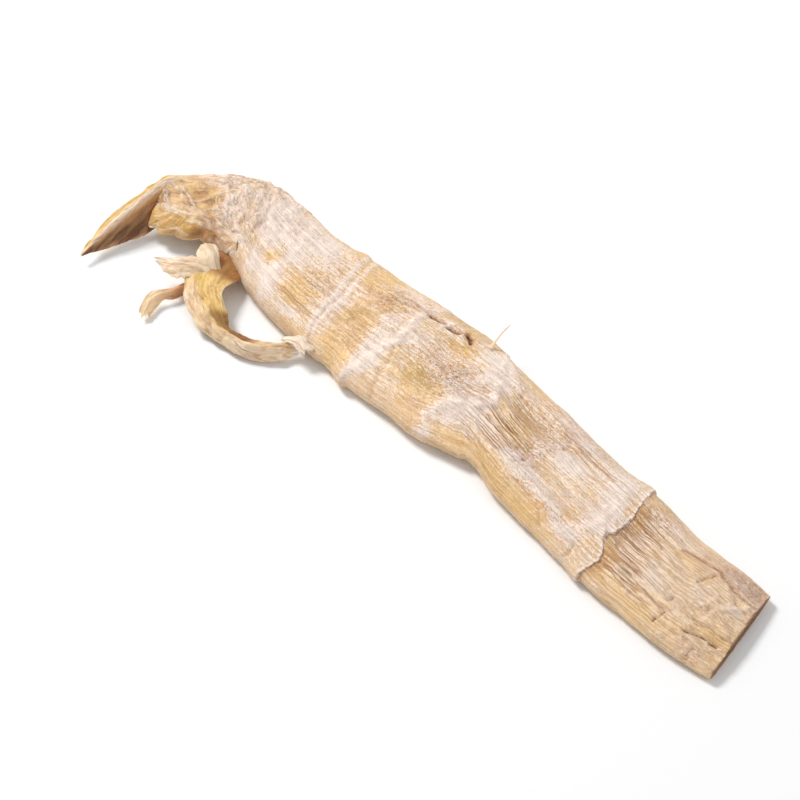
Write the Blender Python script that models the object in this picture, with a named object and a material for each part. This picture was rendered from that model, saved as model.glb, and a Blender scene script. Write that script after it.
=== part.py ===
"""A dried bamboo shoot, peeled, pressed flat and lying on its underside.

The body is one ringed solid, from the cut foot to the shrivelled neck. Dried sheath leaves grow out
of the neck: the folded leaf at the very tip, a long sheath that curls back beside the body, and a
torn piece of sheath. A thin shred lies tucked under the curled sheath. The root of each leaf is
sunk into the neck, in a pocket that keeps a small gap around it.

The shoot lies along X, with its foot towards +X and its tip towards -X, and its rounder face up.
Its left margin is on the -Y side. Sizes are in millimetres, measured from the middle of the foot,
until a mesh is made; the finished shoot is then centred on the origin.
"""

import math

import bpy
import numpy as np

MM = 0.001

# Rungs that cross the body from its left margin to its right margin: nominal distance from the
# foot, left x and y, right x and y, height of the underside and of the upper face.
RUNGS = np.array(
    [
        (0.0, 5.5, -21.6, -5.5, 21.0, 0.5, 5.1),
        (15.0, -12.0, -25.0, -18.0, 22.2, 0.1, 6.6),
        (36.0, -34.0, -25.4, -38.0, 21.2, -0.4, 7.8),
        (62.5, -58.0, -25.2, -67.0, 24.6, -0.5, 8.8),
        (87.0, -84.0, -23.2, -90.0, 25.4, 0.0, 8.8),
        (113.0, -108.0, -20.4, -118.0, 28.0, 0.5, 9.6),
        (137.0, -127.0, -17.4, -147.0, 31.2, 0.8, 10.4),
        (152.0, -146.0, -23.4, -158.0, 32.4, 0.3, 11.3),
        (167.5, -167.0, -24.0, -168.0, 33.2, -0.2, 11.8),
        (182.0, -187.5, -25.4, -176.5, 32.6, -0.5, 12.0),
        (202.5, -201.0, -24.6, -204.0, 29.8, -0.5, 11.8),
        (223.0, -213.0, -24.8, -233.0, 28.2, -0.3, 11.8),
        (245.0, -238.0, -23.8, -252.0, 25.8, 0.3, 12.4),
        (263.0, -256.0, -21.0, -270.0, 26.0, 0.9, 13.2),
        (277.0, -269.0, -15.0, -284.0, 24.4, 1.5, 13.6),
        (288.0, -281.0, -13.0, -295.0, 22.5, 1.9, 13.4),
        (300.0, -292.0, -18.5, -307.0, 15.5, 2.2, 13.6),
        (309.0, -300.0, -24.0, -317.0, 6.5, 2.6, 14.0),
        (316.0, -305.5, -26.5, -325.0, -0.5, 3.0, 14.4),
        (322.0, -308.5, -27.0, -327.0, -9.0, 4.2, 14.2),
        (326.0, -311.0, -25.5, -325.5, -12.5, 6.4, 12.2),
    ]
)
WIDEST_AT = 0.42  # height of the thin margin, as a share of the thickness
SECTION_SHARES = 2.35  # spreads the points of a cross-section evenly along its outline
UPPER_POWER, UNDER_POWER, NECK_POWER = 2.35, 3.2, 1.75  # more is boxier, less is sharper
NECK_FROM, NECK_TO = 266.0, 290.0  # the flesh gives way to the shrivelled neck between these

# Growth rings: nominal distance, how far the ring's line bows towards the tip at the left quarter,
# the middle and the right quarter of the width, and the height of its lip.
RINGS = [
    (0.0, (0.0, 0.0, 0.0), 0.0),
    (62.5, (-1.2, 0.6, 0.3), 1.3),
    (137.0, (11.0, 8.5, 1.0), 0.8),
    (182.0, (6.8, 11.0, 9.8), 0.9),
    (223.0, (2.0, 1.0, 1.0), 0.8),
    (277.0, (3.0, 4.5, 4.0), 0.6),
    (326.0, (0.0, 0.0, 0.0), 0.0),
]
LIP_FADE = 5.0  # the swelling behind a lip fades over this distance towards the tip
LIP_DROP = 1.1  # the lip falls to the next internode within this distance
LIP_SPREAD = 0.7  # how far a lip stands out sideways at the margins, as a share of its height

# Swellings and dents of the upper face: x, y, reach along x, reach along y, height.
SWELLS = [
    (-98.0, 13.0, 13.0, 8.0, 1.5),
    (-150.0, -14.0, 17.0, 8.0, 1.3),
    (-122.0, 8.0, 13.0, 10.0, -0.9),
    (-168.0, 9.0, 13.0, 10.0, -1.0),
    (-54.0, 2.0, 6.0, 22.0, -0.9),
    (-14.0, -12.0, 11.0, 7.0, 0.6),
    (-36.0, 9.0, 12.0, 7.0, -0.6),
    (-84.0, -9.0, 14.0, 7.0, -0.7),
    (-208.0, -4.0, 8.0, 15.0, -0.8),
    (-246.0, 4.0, 11.0, 13.0, -0.7),
    (-196.0, 28.0, 22.0, 4.0, 0.9),
]
CREASE_START, CREASE_END = (-221.0, 16.5), (-169.0, 26.0)  # a fold beside the right margin
CREASE_DEPTH, CREASE_WIDTH = 1.1, 1.6
FURROW_PITCH, FURROW_DEPTH = 8.0, 0.3
NECK_FOLDS, NECK_FOLD_HEIGHT = 5, 1.0
LOBE_LENGTH, LOBE_DEPTH = 8.5, 1.6  # scallops of the neck's left margin

ROWS_PER_INTERNODE = (15, 17, 13, 11, 14, 16)
POINTS_AROUND = 48

# The slit in the foot, all that pressing has left of the hollow.
SLIT_WIDTH, SLIT_HEIGHT, SLIT_DEPTH = 31.0, 1.1, 8.0

# Dried leaves.
LEAF_THICKNESS = 1.1
POCKET_GAP = 0.4


def clear_scene():
    for obj in list(bpy.data.objects):
        bpy.data.objects.remove(obj, do_unlink=True)


def material(name, colour, roughness):
    made = bpy.data.materials.new(name)
    made.use_nodes = True
    shader = made.node_tree.nodes["Principled BSDF"]
    shader.inputs["Base Color"].default_value = (*colour, 1.0)
    shader.inputs["Roughness"].default_value = roughness
    shader.inputs["Metallic"].default_value = 0.0
    return made


def smooth(x, at, values):
    """Cubic Hermite curve through the values at the places at, held flat beyond both ends."""
    x = np.clip(x, at[0], at[-1])
    slopes = np.gradient(values, at)
    i = np.clip(np.searchsorted(at, x, side="right") - 1, 0, len(at) - 2)
    gap = at[i + 1] - at[i]
    t = (x - at[i]) / gap
    from_values = values[i] * (1 + 2 * t) * (1 - t) ** 2 + values[i + 1] * t * t * (3 - 2 * t)
    from_slopes = slopes[i] * t * (1 - t) ** 2 + slopes[i + 1] * t * t * (t - 1)
    return from_values + gap * from_slopes


def ease(x, low, high):
    t = np.clip((x - low) / (high - low), 0.0, 1.0)
    return t * t * (3 - 2 * t)


def ring_bow(nominal, share):
    """How far the rings' bowed lines pull a point towards the tip; share is -1 at the left margin."""
    quarters = np.array([-1.0, -0.5, 0.0, 0.5, 1.0])
    places = np.array([place for place, _, _ in RINGS])
    bows = np.array([smooth(share, quarters, np.array([0.0, *bow, 0.0])) for _, bow, _ in RINGS])
    k = np.clip(np.searchsorted(places, nominal, side="right") - 1, 0, len(places) - 2)
    before = np.take_along_axis(bows, k[None], axis=0)[0]
    after = np.take_along_axis(bows, k[None] + 1, axis=0)[0]
    return before + (after - before) * ease(nominal, places[k], places[k + 1])


def lip_relief(nominal):
    """Each ring stands up as a lip: a slow swelling on its tip side, a quick drop on the other."""
    height = np.zeros_like(nominal)
    for place, _, lip in RINGS:
        past = nominal - place
        height += lip * np.where(past >= 0, np.exp(-past / LIP_FADE), np.clip(1 + past / LIP_DROP, 0, 1))
    return height


def swell_relief(x, y):
    height = np.zeros_like(x)
    for at_x, at_y, reach_x, reach_y, rise in SWELLS:
        height += rise * np.exp(-(((x - at_x) / reach_x) ** 2) - ((y - at_y) / reach_y) ** 2)
    return height


def crease_relief(x, y):
    """A narrow valley along the line from CREASE_START to CREASE_END, shallow at both ends."""
    (x0, y0), (x1, y1) = CREASE_START, CREASE_END
    line = y0 + (y1 - y0) * (x - x0) / (x1 - x0)
    shown = ease(x, x0, x0 + 12) * (1 - ease(x, x1 - 12, x1))
    return -CREASE_DEPTH * shown * np.exp(-(((y - line) / CREASE_WIDTH) ** 2))


def furrow_relief(x, y):
    """Shallow lengthwise furrows that wander a little, where the flesh shrank between its fibres."""
    wander = 1.1 * np.sin(x / 17.0) + 0.8 * np.sin(x / 7.3 + 1.0)
    patchy = 0.6 + 0.4 * np.sin(x / 29.0 + y / 9.0)
    return FURROW_DEPTH * patchy * np.sin(2 * math.pi * (y + wander) / FURROW_PITCH)


def neck_relief(nominal, angle):
    """Crumpled folds that run along the neck, crossed by shorter ones."""
    turn = NECK_FOLDS * angle + 0.05 * (nominal - NECK_FROM)
    long_folds = np.sin(turn) + 0.5 * np.sin(2.1 * turn + nominal / 3.4)
    cross_folds = 0.5 * np.sin(nominal / 2.9 + 2.0 * angle)
    return NECK_FOLD_HEIGHT * ease(nominal, NECK_FROM, NECK_TO) * (long_folds + cross_folds)


def section_angles():
    """Angles around a cross-section, evenly spaced along the outline of a typical one."""
    fine = np.linspace(0.0, 2 * math.pi, 1441)
    cos, sin = np.cos(fine), np.sin(fine)
    y = 25.0 * np.sign(cos) * np.abs(cos) ** (2 / SECTION_SHARES)
    z = 5.5 * np.sign(sin) * np.abs(sin) ** (2 / SECTION_SHARES)
    run = np.concatenate([[0.0], np.cumsum(np.hypot(np.diff(y), np.diff(z)))])
    return np.interp(np.arange(POINTS_AROUND) / POINTS_AROUND * run[-1], run, fine)


def row_places():
    """Nominal distances of the rows: evenly spaced between rings, and two close rows at each lip."""
    rows = []
    for (start, _, _), (end, _, lip), count in zip(RINGS[:-1], RINGS[1:], ROWS_PER_INTERNODE):
        last = end - LIP_DROP if lip else end
        rows += list(np.linspace(start, last, count))
    return np.array(rows)


def section_heights(nominal, share, is_upper):
    """Heights over a cross-section, which is a superellipse above its margins and another below."""
    under, upper = (smooth(nominal, RUNGS[:, 0], RUNGS[:, k]) for k in (5, 6))
    widest = under + WIDEST_AT * (upper - under)
    neck = ease(nominal, NECK_FROM, NECK_TO)
    power = np.where(is_upper, UPPER_POWER, UNDER_POWER) * (1 - neck) + NECK_POWER * neck
    lift = np.clip(1 - np.abs(share) ** power, 0, 1) ** (1 / power)
    return widest + lift * np.where(is_upper, upper - widest, under - widest)


def body_surface():
    """Points of the body's skin, as rows from the foot to the neck that each go once around."""
    nominal, angle = np.meshgrid(row_places(), section_angles(), indexing="ij")
    cos, sin = np.cos(angle), np.sin(angle)
    share = np.sign(cos) * np.abs(cos) ** (2 / SECTION_SHARES)
    left_x, left_y, right_x, right_y = (smooth(nominal, RUNGS[:, 0], RUNGS[:, k]) for k in (1, 2, 3, 4))
    x = left_x + (right_x - left_x) * (1 + share) / 2 - ring_bow(nominal, share)
    y = left_y + (right_y - left_y) * (1 + share) / 2
    lip = lip_relief(nominal)
    neck = ease(nominal, NECK_FROM, NECK_TO)
    edge_wave = 0.4 * np.sin(nominal / 3.7) + 0.3 * np.sin(nominal / 9.1 + 2.0)
    lobes = LOBE_DEPTH * neck * (share < 0) * (np.abs(np.sin(math.pi * nominal / LOBE_LENGTH)) - 0.6)
    y += share * (edge_wave + LIP_SPREAD * lip) - lobes * share**2
    z = section_heights(nominal, share, sin >= 0)
    relief = lip + (1 - neck) * (swell_relief(x, y) + crease_relief(x, y) + furrow_relief(x, y))
    z += np.sqrt(np.clip(sin, 0, 1)) * relief
    z += sin * np.abs(sin) * neck_relief(nominal, angle)
    return np.stack([x, y, np.maximum(z, 0.0)], axis=-1)


def slit_rows(rim):
    """The mouth and the floor of the slit, as two rows inside the foot's rim."""
    middle = rim.mean(axis=0)
    angle = section_angles()
    across = np.sign(np.cos(angle)) * np.abs(np.cos(angle)) ** (2 / SECTION_SHARES)
    height = np.sign(np.sin(angle)) * np.abs(np.sin(angle)) ** (2 / SECTION_SHARES)
    slant = (RUNGS[0, 3] - RUNGS[0, 1]) / (RUNGS[0, 4] - RUNGS[0, 2])
    rows = []
    for width, depth in ((SLIT_WIDTH, 0.0), (0.9 * SLIT_WIDTH, SLIT_DEPTH)):
        y = across * width / 2
        z = np.ones_like(y) * middle[2] + height * SLIT_HEIGHT / 2
        rows.append(np.stack([middle[0] + slant * y - depth, middle[1] + y, z], axis=-1))
    return np.array(rows)


def tube_faces(rows, around):
    """Triangles of a tube of rows, each end closed by strips between its upper and lower half."""
    faces = []
    for i in range(rows - 1):
        for j in range(around):
            k = (j + 1) % around
            a, b, c, d = i * around + j, i * around + k, (i + 1) * around + k, (i + 1) * around + j
            faces += [(a, c, b), (a, d, c)]
    for first, is_last in ((0, False), ((rows - 1) * around, True)):
        for j in range(around // 2):
            upper, lower = first + j, first + (around - j) % around
            next_upper, next_lower = first + j + 1, first + around - j - 1
            strip = [(upper, next_upper, next_lower), (upper, next_lower, lower)]
            strip = [face for face in strip if len(set(face)) == 3]
            faces += [face[::-1] for face in strip] if is_last else strip
    return faces


def add_object(name, points, faces, look, root=(0.0, 0.0, 0.0)):
    """An object at its root point, with the mesh around it."""
    mesh = bpy.data.meshes.new(name)
    mesh.from_pydata(((points.reshape(-1, 3) - root) * MM).tolist(), [], faces)
    mesh.materials.append(look)
    mesh.shade_smooth()
    mesh.set_sharp_from_angle(angle=math.radians(55))
    obj = bpy.data.objects.new(name, mesh)
    obj.location = np.array(root) * MM
    bpy.context.scene.collection.objects.link(obj)
    return obj


def blade_middle(path, widths, rolls, folds, ripple, shape, grow=0.0):
    """Middle surface of a leaf along a path.

    At each point of the path the leaf has a width, a roll about the path, and a fold: the angle by
    which both halves hang from the midrib. Ripple is the height of the waves of its margins. Grow
    makes the leaf that much wider on each side, and longer at its root.
    """
    steps, columns = shape
    at = np.linspace(0.0, 1.0, len(path))
    t = np.linspace(0.0, 1.0, steps)
    centre = np.stack([smooth(t, at, np.array(path)[:, k]) for k in range(3)], axis=-1)
    width = smooth(t, at, np.array(widths)) + 2 * grow
    roll = np.radians(smooth(t, at, np.array(rolls)))[:, None]
    fold = np.radians(smooth(t, at, np.array(folds)))[:, None]
    forward = np.gradient(centre, axis=0)
    forward /= np.linalg.norm(forward, axis=1, keepdims=True)
    centre[0] -= forward[0] * grow
    side = np.cross([0.0, 0.0, 1.0], forward)
    side /= np.linalg.norm(side, axis=1, keepdims=True)
    up = np.cross(forward, side)
    across, normal = side * np.cos(roll) + up * np.sin(roll), up * np.cos(roll) - side * np.sin(roll)
    v = np.linspace(-1.0, 1.0, columns)
    reach = width[:, None] / 2 * v
    wave = ripple * np.sin(17.0 * t[:, None] + 2.2 * v) * np.abs(v) * np.minimum(1.0, 5.0 * t)[:, None]
    sideways, rise = reach * np.cos(fold), wave - np.abs(reach) * np.sin(fold)
    return centre[:, None] + across[:, None] * sideways[..., None] + normal[:, None] * rise[..., None]


def blade_solid(middle, thickness):
    """Points and triangles of a blade: both faces split alike, and the rim between them."""
    rows, columns = middle.shape[:2]
    normal = np.cross(np.gradient(middle, axis=0), np.gradient(middle, axis=1))
    half = normal / np.linalg.norm(normal, axis=-1, keepdims=True) * thickness / 2
    points = np.stack([middle + half, middle - half])
    under = rows * columns
    faces = []
    for i in range(rows - 1):
        for j in range(columns - 1):
            a, b, c, d = i * columns + j, i * columns + j + 1, (i + 1) * columns + j + 1, (i + 1) * columns + j
            faces += [(a, c, b), (a, d, c), (under + a, under + b, under + c), (under + a, under + c, under + d)]
    rim = [(0, j) for j in range(columns)] + [(i, columns - 1) for i in range(1, rows)]
    rim += [(rows - 1, j) for j in range(columns - 2, -1, -1)] + [(i, 0) for i in range(rows - 2, 0, -1)]
    for (i, j), (k, m) in zip(rim, rim[1:] + rim[:1]):
        here, there = i * columns + j, k * columns + m
        faces += [(here, there, under + there), (here, under + there, under + here)]
    return points, faces


def add_leaf(name, look, path, widths, rolls, folds, ripple, shape):
    middle = blade_middle(path, widths, rolls, folds, ripple, shape)
    points, faces = blade_solid(middle, LEAF_THICKNESS)
    return add_object(name, points, faces, look, path[0])


def cut_pocket(body, path, widths, rolls, folds, ripple, shape):
    """Cuts room for a leaf out of the body: the leaf's own shape with a gap all round."""
    middle = blade_middle(path, widths, rolls, folds, ripple, shape, grow=POCKET_GAP)
    points, faces = blade_solid(middle, LEAF_THICKNESS + 2 * POCKET_GAP)
    cutter = add_object("cutter", points, faces, body.data.materials[0])
    cutter.hide_render = True
    cutter.display_type = "WIRE"
    cut = body.modifiers.new("pocket", "BOOLEAN")
    cut.operation = "DIFFERENCE"
    cut.object = cutter


def add_body(look):
    skin = body_surface()
    floor_and_mouth = slit_rows(skin[0])[::-1]
    rows = np.concatenate([floor_and_mouth, skin])
    return add_object("shoot_body", rows, tube_faces(len(rows), POINTS_AROUND), look)


# Leaves: path from the root, then width, roll and fold at each point of the path.
TIP_LEAF = dict(
    path=[(-314.5, -7, 9.4), (-317.5, -14.5, 11), (-318, -24, 12.8), (-316, -35, 12.4), (-313.5, -46, 9.5), (-312, -57, 6)],
    widths=[6, 15, 23, 23, 15, 3],
    rolls=[0, 10, 24, 26, 20, 10],
    folds=[4, 20, 48, 55, 45, 20],
    ripple=0.5,
    shape=(26, 9),
)
CURLED_SHEATH = dict(
    path=[
        (-270, -7, 4.6), (-270.5, -16, 5.2), (-269.5, -25, 7), (-265.5, -34, 8.5), (-258, -40.5, 8.5), (-248, -44, 7.5),
        (-238, -45, 6.5), (-228.5, -43, 5.6), (-221, -38.5, 5), (-215.5, -32.5, 4.6), (-212, -27.5, 4.4),
    ],
    widths=[9, 15, 16, 14, 13, 12, 11, 10, 9, 7, 4],
    rolls=[0, 4, 10, 18, 26, 30, 28, 30, 22, 10, 0],
    folds=[4, 8, 12, 14, 20, 26, 30, 30, 26, 20, 8],
    ripple=0.6,
    shape=(48, 7),
)
TORN_SHEATH = dict(
    path=[(-277.5, -8, 8.8), (-278.5, -16, 9.8), (-280, -25, 11.4), (-285, -32, 10.6), (-291, -37, 8.5)],
    widths=[5, 11, 15, 11, 3],
    rolls=[0, -3, -4, -4, 0],
    folds=[0, 8, 12, 10, 0],
    ripple=0.9,
    shape=(18, 7),
)
SHEATH_SHRED = dict(
    path=[(-264.5, -38.5, 2.2), (-270.5, -43, 2.2), (-275.5, -48, 3.4), (-273, -55, 4.2), (-269, -60.5, 2.6)],
    widths=[4, 6, 5, 6, 5],
    rolls=[0, 6, 40, 15, 0],
    folds=[0, 10, 24, 14, 6],
    ripple=0.3,
    shape=(18, 5),
)


def centre_on_floor(objects):
    """Parents the objects to an empty, placed so that the shoot's box is centred on the origin."""
    bpy.context.view_layer.update()
    corners = np.array([obj.matrix_world @ v.co for obj in objects for v in obj.data.vertices])
    low, high = corners.min(axis=0), corners.max(axis=0)
    shoot = bpy.data.objects.new("shoot", None)
    shoot.location = (-(low[0] + high[0]) / 2, -(low[1] + high[1]) / 2, -low[2])
    bpy.context.scene.collection.objects.link(shoot)
    for obj in bpy.data.objects:
        if obj != shoot:
            obj.parent = shoot


def main():
    clear_scene()
    flesh = material("dried flesh", (0.78, 0.62, 0.42), 0.75)
    amber = material("amber sheath", (0.80, 0.52, 0.22), 0.5)
    pale = material("pale sheath", (0.84, 0.68, 0.46), 0.6)
    body = add_body(flesh)
    leaves = [
        add_leaf("tip_leaf", amber, **TIP_LEAF),
        add_leaf("curled_sheath", amber, **CURLED_SHEATH),
        add_leaf("torn_sheath", pale, **TORN_SHEATH),
        add_leaf("sheath_shred", pale, **SHEATH_SHRED),
    ]
    for leaf in (TIP_LEAF, CURLED_SHEATH, TORN_SHEATH):
        cut_pocket(body, **leaf)
    centre_on_floor([body, *leaves])


main()
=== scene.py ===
import math

import bpy
import numpy as np
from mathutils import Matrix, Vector


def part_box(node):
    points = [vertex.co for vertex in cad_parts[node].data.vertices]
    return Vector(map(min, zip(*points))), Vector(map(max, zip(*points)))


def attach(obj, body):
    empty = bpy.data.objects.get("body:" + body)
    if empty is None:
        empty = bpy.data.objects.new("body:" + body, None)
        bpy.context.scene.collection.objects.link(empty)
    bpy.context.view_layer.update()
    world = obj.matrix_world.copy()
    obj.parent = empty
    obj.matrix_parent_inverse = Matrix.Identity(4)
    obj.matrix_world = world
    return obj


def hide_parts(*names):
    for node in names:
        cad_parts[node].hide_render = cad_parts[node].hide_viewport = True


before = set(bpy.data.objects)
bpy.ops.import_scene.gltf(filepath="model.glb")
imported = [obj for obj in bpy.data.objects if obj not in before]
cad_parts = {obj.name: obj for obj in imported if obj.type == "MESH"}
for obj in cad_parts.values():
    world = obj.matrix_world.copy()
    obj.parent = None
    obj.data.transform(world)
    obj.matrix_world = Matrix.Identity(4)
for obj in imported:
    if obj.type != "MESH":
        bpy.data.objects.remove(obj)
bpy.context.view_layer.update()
mm = 0.001
print("frame loaded")

# The shoot is worked out in millimetres from the middle of its cut foot, tip towards -X.
# Its widest foot corner and its widest margin are also those of the solid, which gives its place.
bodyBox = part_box("shoot_body")


def smooth(x, at, values):
    # cubic Hermite curve through the values, its slopes taken from the neighbours
    at, values = np.asarray(at, float), np.asarray(values, float)
    x = np.clip(x, at[0], at[-1])
    slopes = np.gradient(values, at)
    i = np.clip(np.searchsorted(at, x, side="right") - 1, 0, len(at) - 2)
    gap = at[i + 1] - at[i]
    t = (x - at[i]) / gap
    fromValues = values[i] * (1 + 2 * t) * (1 - t) ** 2 + values[i + 1] * t * t * (3 - 2 * t)
    fromSlopes = slopes[i] * t * (1 - t) ** 2 + slopes[i + 1] * t * t * (t - 1)
    return fromValues + gap * fromSlopes


def ease(x, low, high):
    # 0 below low, 1 above high, 3t^2 - 2t^3 between
    t = np.clip((x - low) / (high - low), 0.0, 1.0)
    return t * t * (3 - 2 * t)


def hashed(seed):
    # a shuffled table of 256 numbers, twice over, and 256 unit vectors
    rng = np.random.default_rng(seed)
    order = rng.permutation(256)
    arrows = rng.normal(size=(256, 3))
    return np.concatenate([order, order]), arrows / np.linalg.norm(arrows, axis=1, keepdims=True)


def noise(x, y, z=0.0, seed=0):
    # gradient noise: each lattice corner's arrow dotted with the way to the point, blended; about -1 to 1
    order, arrows = hashed(seed)
    x, y, z = np.broadcast_arrays(np.asarray(x, float), y, z)
    cell = [np.floor(v).astype(int) for v in (x, y, z)]
    part = [v - c for v, c in zip((x, y, z), cell)]
    blend = [p * p * p * (p * (6 * p - 15) + 10) for p in part]
    total = np.zeros(x.shape)
    for dx in (0, 1):
        for dy in (0, 1):
            for dz in (0, 1):
                mixed = order[(order[((cell[0] + dx) & 255)] + cell[1] + dy) & 255]
                arrow = arrows[order[(mixed + cell[2] + dz) & 255]]
                dot = (part[0] - dx) * arrow[..., 0] + (part[1] - dy) * arrow[..., 1]
                dot += (part[2] - dz) * arrow[..., 2]
                weight = 1.0
                for step, share in zip((dx, dy, dz), blend):
                    weight = weight * (share if step else 1 - share)
                total += weight * dot
    return 1.6 * total


def fbm(x, y, z=0.0, seed=0, octaves=3):
    # noise at 1, 2, 4 ... times the frequency with 1, 1/2, 1/4 ... of the height
    total, size = 0.0, 1.0
    for octave in range(octaves):
        scale = 2.0 ** octave
        total = total + size * noise(x * scale, y * scale, z * scale, seed + 17 * octave)
        size /= 2
    return total


def creases(x, y, z=0.0, seed=0, octaves=2):
    # 1 - |noise|, squared: thin ridges where the noise crosses zero; 0 to 1
    total, size, most = 0.0, 1.0, 0.0
    for octave in range(octaves):
        scale = 2.0 ** octave
        crossing = 1 - np.abs(noise(x * scale, y * scale, z * scale, seed + 31 * octave))
        total = total + size * np.clip(crossing, 0, 1) ** 2
        most += size
        size /= 2
    return total / most


def cells(x, y, z=0.0, seed=0):
    # distance to the nearest of one random point in each unit cube
    order, arrows = hashed(seed)
    x, y, z = np.broadcast_arrays(np.asarray(x, float), y, z)
    base = [np.floor(v).astype(int) for v in (x, y, z)]
    nearest = np.full(x.shape, 9.0)
    for dx in (-1, 0, 1):
        for dy in (-1, 0, 1):
            for dz in (-1, 0, 1):
                mixed = order[(order[(base[0] + dx) & 255] + base[1] + dy) & 255]
                spot = 0.5 + 0.45 * arrows[order[(mixed + base[2] + dz) & 255]]
                away = (base[0] + dx + spot[..., 0] - x) ** 2 + (base[1] + dy + spot[..., 1] - y) ** 2
                away = np.sqrt(away + (base[2] + dz + spot[..., 2] - z) ** 2)
                nearest = np.minimum(nearest, away)
    return nearest


def spots(x, y, places):
    # sum of soft round spots: exp(-((x - x0) / rx)^2 - ((y - y0) / ry)^2) times the height
    total = np.zeros(np.shape(x))
    for x0, y0, rx, ry, height in places:
        total += height * np.exp(-(((x - x0) / rx) ** 2) - ((y - y0) / ry) ** 2)
    return total


def near(x, y, start, end, width):
    # 1 on the line from start to end, fading as a bell over the width away from it
    (x0, y0), (x1, y1) = start, end
    length = (x1 - x0) ** 2 + (y1 - y0) ** 2
    t = np.clip(((x - x0) * (x1 - x0) + (y - y0) * (y1 - y0)) / length, 0, 1)
    away = (x - x0 - t * (x1 - x0)) ** 2 + (y - y0 - t * (y1 - y0)) ** 2
    return np.exp(-away / width**2)


# the shoot's body, in millimetres from the middle of the cut foot; the left margin is on the -Y side
body = {
    # nominal distance, left x and y, right x and y, height of underside and upper face
    "rungs": np.array([
        (0.0, 5.5, -21.6, -5.5, 21.0, 0.5, 5.1),
        (15.0, -12.0, -25.0, -18.0, 22.2, 0.1, 6.6),
        (36.0, -34.0, -25.4, -38.0, 21.2, -0.4, 7.8),
        (62.5, -58.0, -25.2, -67.0, 24.6, -0.5, 8.8),
        (87.0, -84.0, -23.2, -90.0, 25.4, 0.0, 8.8),
        (113.0, -108.0, -20.4, -118.0, 28.0, 0.5, 9.6),
        (137.0, -127.0, -17.4, -147.0, 31.2, 0.8, 10.4),
        (152.0, -146.0, -23.4, -158.0, 32.4, 0.3, 11.3),
        (167.5, -167.0, -24.0, -168.0, 33.2, -0.2, 11.8),
        (182.0, -187.5, -25.4, -176.5, 32.6, -0.5, 12.0),
        (202.5, -201.0, -24.6, -204.0, 29.8, -0.5, 11.8),
        (223.0, -213.0, -24.8, -233.0, 28.2, -0.3, 11.8),
        (245.0, -238.0, -23.8, -252.0, 25.8, 0.3, 12.4),
        (263.0, -256.0, -21.0, -270.0, 26.6, 0.9, 13.4),
        (277.0, -268.5, -16.0, -284.8, 26.2, 1.5, 14.3),
        (288.0, -281.0, -14.5, -296.0, 24.2, 1.9, 14.4),
        (300.0, -292.0, -19.5, -308.6, 17.0, 2.2, 14.6),
        (309.0, -300.0, -24.5, -318.4, 8.0, 2.6, 15.0),
        (316.0, -305.5, -26.0, -324.2, -0.5, 3.4, 15.0),
        (322.0, -309.5, -24.5, -323.0, -9.5, 5.6, 14.0),
        (326.0, -312.8, -22.0, -320.0, -14.5, 8.0, 12.4),
    ]),
    # nominal distance, bow towards the tip at a quarter, half and three quarters of the width
    "rings": [
        (0.0, (0.0, 0.0, 0.0)),
        (62.5, (-1.2, 0.6, 0.3)),
        (137.0, (11.0, 8.5, 1.0)),
        (182.0, (6.8, 11.0, 9.8)),
        (223.0, (2.0, 1.0, 1.0)),
        (277.0, (3.0, 4.5, 4.0)),
        (326.0, (0.0, 0.0, 0.0)),
    ],
    # where a ring leaves a step in the margin: nominal distance, side, size, reach towards the tip
    "steps": [
        (182.0, -1, 1.5, 14), (137.0, -1, 1.0, 12), (222.5, -1, 0.8, 8), (61.5, -1, 0.8, 10),
        (61.5, 1, 0.9, 12), (190.0, 1, 0.7, 12), (146.0, 1, 0.8, 12), (223.0, 1, 0.7, 10),
        (262.0, 1, 0.8, 10),
    ],
    "widestAt": 0.42,  # share of a section's height at which it is widest
    "upperPower": 2.35,  # 2 is an ellipse, more is squarer, less is a lens
    "underPower": 3.2,
    "neckPower": 1.75,
    "neckFrom": 266.0,  # the section changes to the neck's between these two distances
    "neckTo": 290.0,
    "around": 176,  # points around a section
    "rowGap": 0.74,
    "lipRowGap": 0.3,  # rows stand closer where the last ring's lip is
    "lipAt": 61.4,
    "lipReach": 2.8,
    "halfWidth": 25.0,  # nominal: it sets the scale of w and of the section's angles
    "halfHeight": 5.5,
    # how far the solid reaches past the cut's middle: its foot's left corner to +X, its right margin to +Y
    "footCorner": 5.5,
    "widestMargin": 33.1,
    # swellings and dents of the upper face: x, y, reach along, reach across, height
    "swells": [
        (-98.0, 13.0, 13.0, 8.0, 1.5), (-150.0, -14.0, 17.0, 8.0, 1.3), (-122.0, 8.0, 13.0, 10.0, -0.9),
        (-168.0, 9.0, 13.0, 10.0, -1.0), (-54.0, 2.0, 6.0, 22.0, -0.9), (-14.0, -12.0, 11.0, 7.0, 0.6),
        (-36.0, 9.0, 12.0, 7.0, -0.6), (-84.0, -9.0, 14.0, 7.0, -0.7), (-208.0, -4.0, 8.0, 15.0, -0.8),
        (-246.0, 4.0, 11.0, 13.0, -0.7), (-196.0, 28.0, 22.0, 4.0, 0.9),
    ],
    "slitWidth": 31.0,
    "slitHeight": 1.1,
    "slitDepth": 8.0,
    "slitRows": 7,
    "cutRows": 12,
}
foot = np.array([bodyBox[1].x / mm - body["footCorner"], bodyBox[1].y / mm - body["widestMargin"], 0.0])


def toWorld(points):
    # moves points from the cut foot's middle to their place in the frame, in metres
    return (points + foot) * mm


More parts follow.
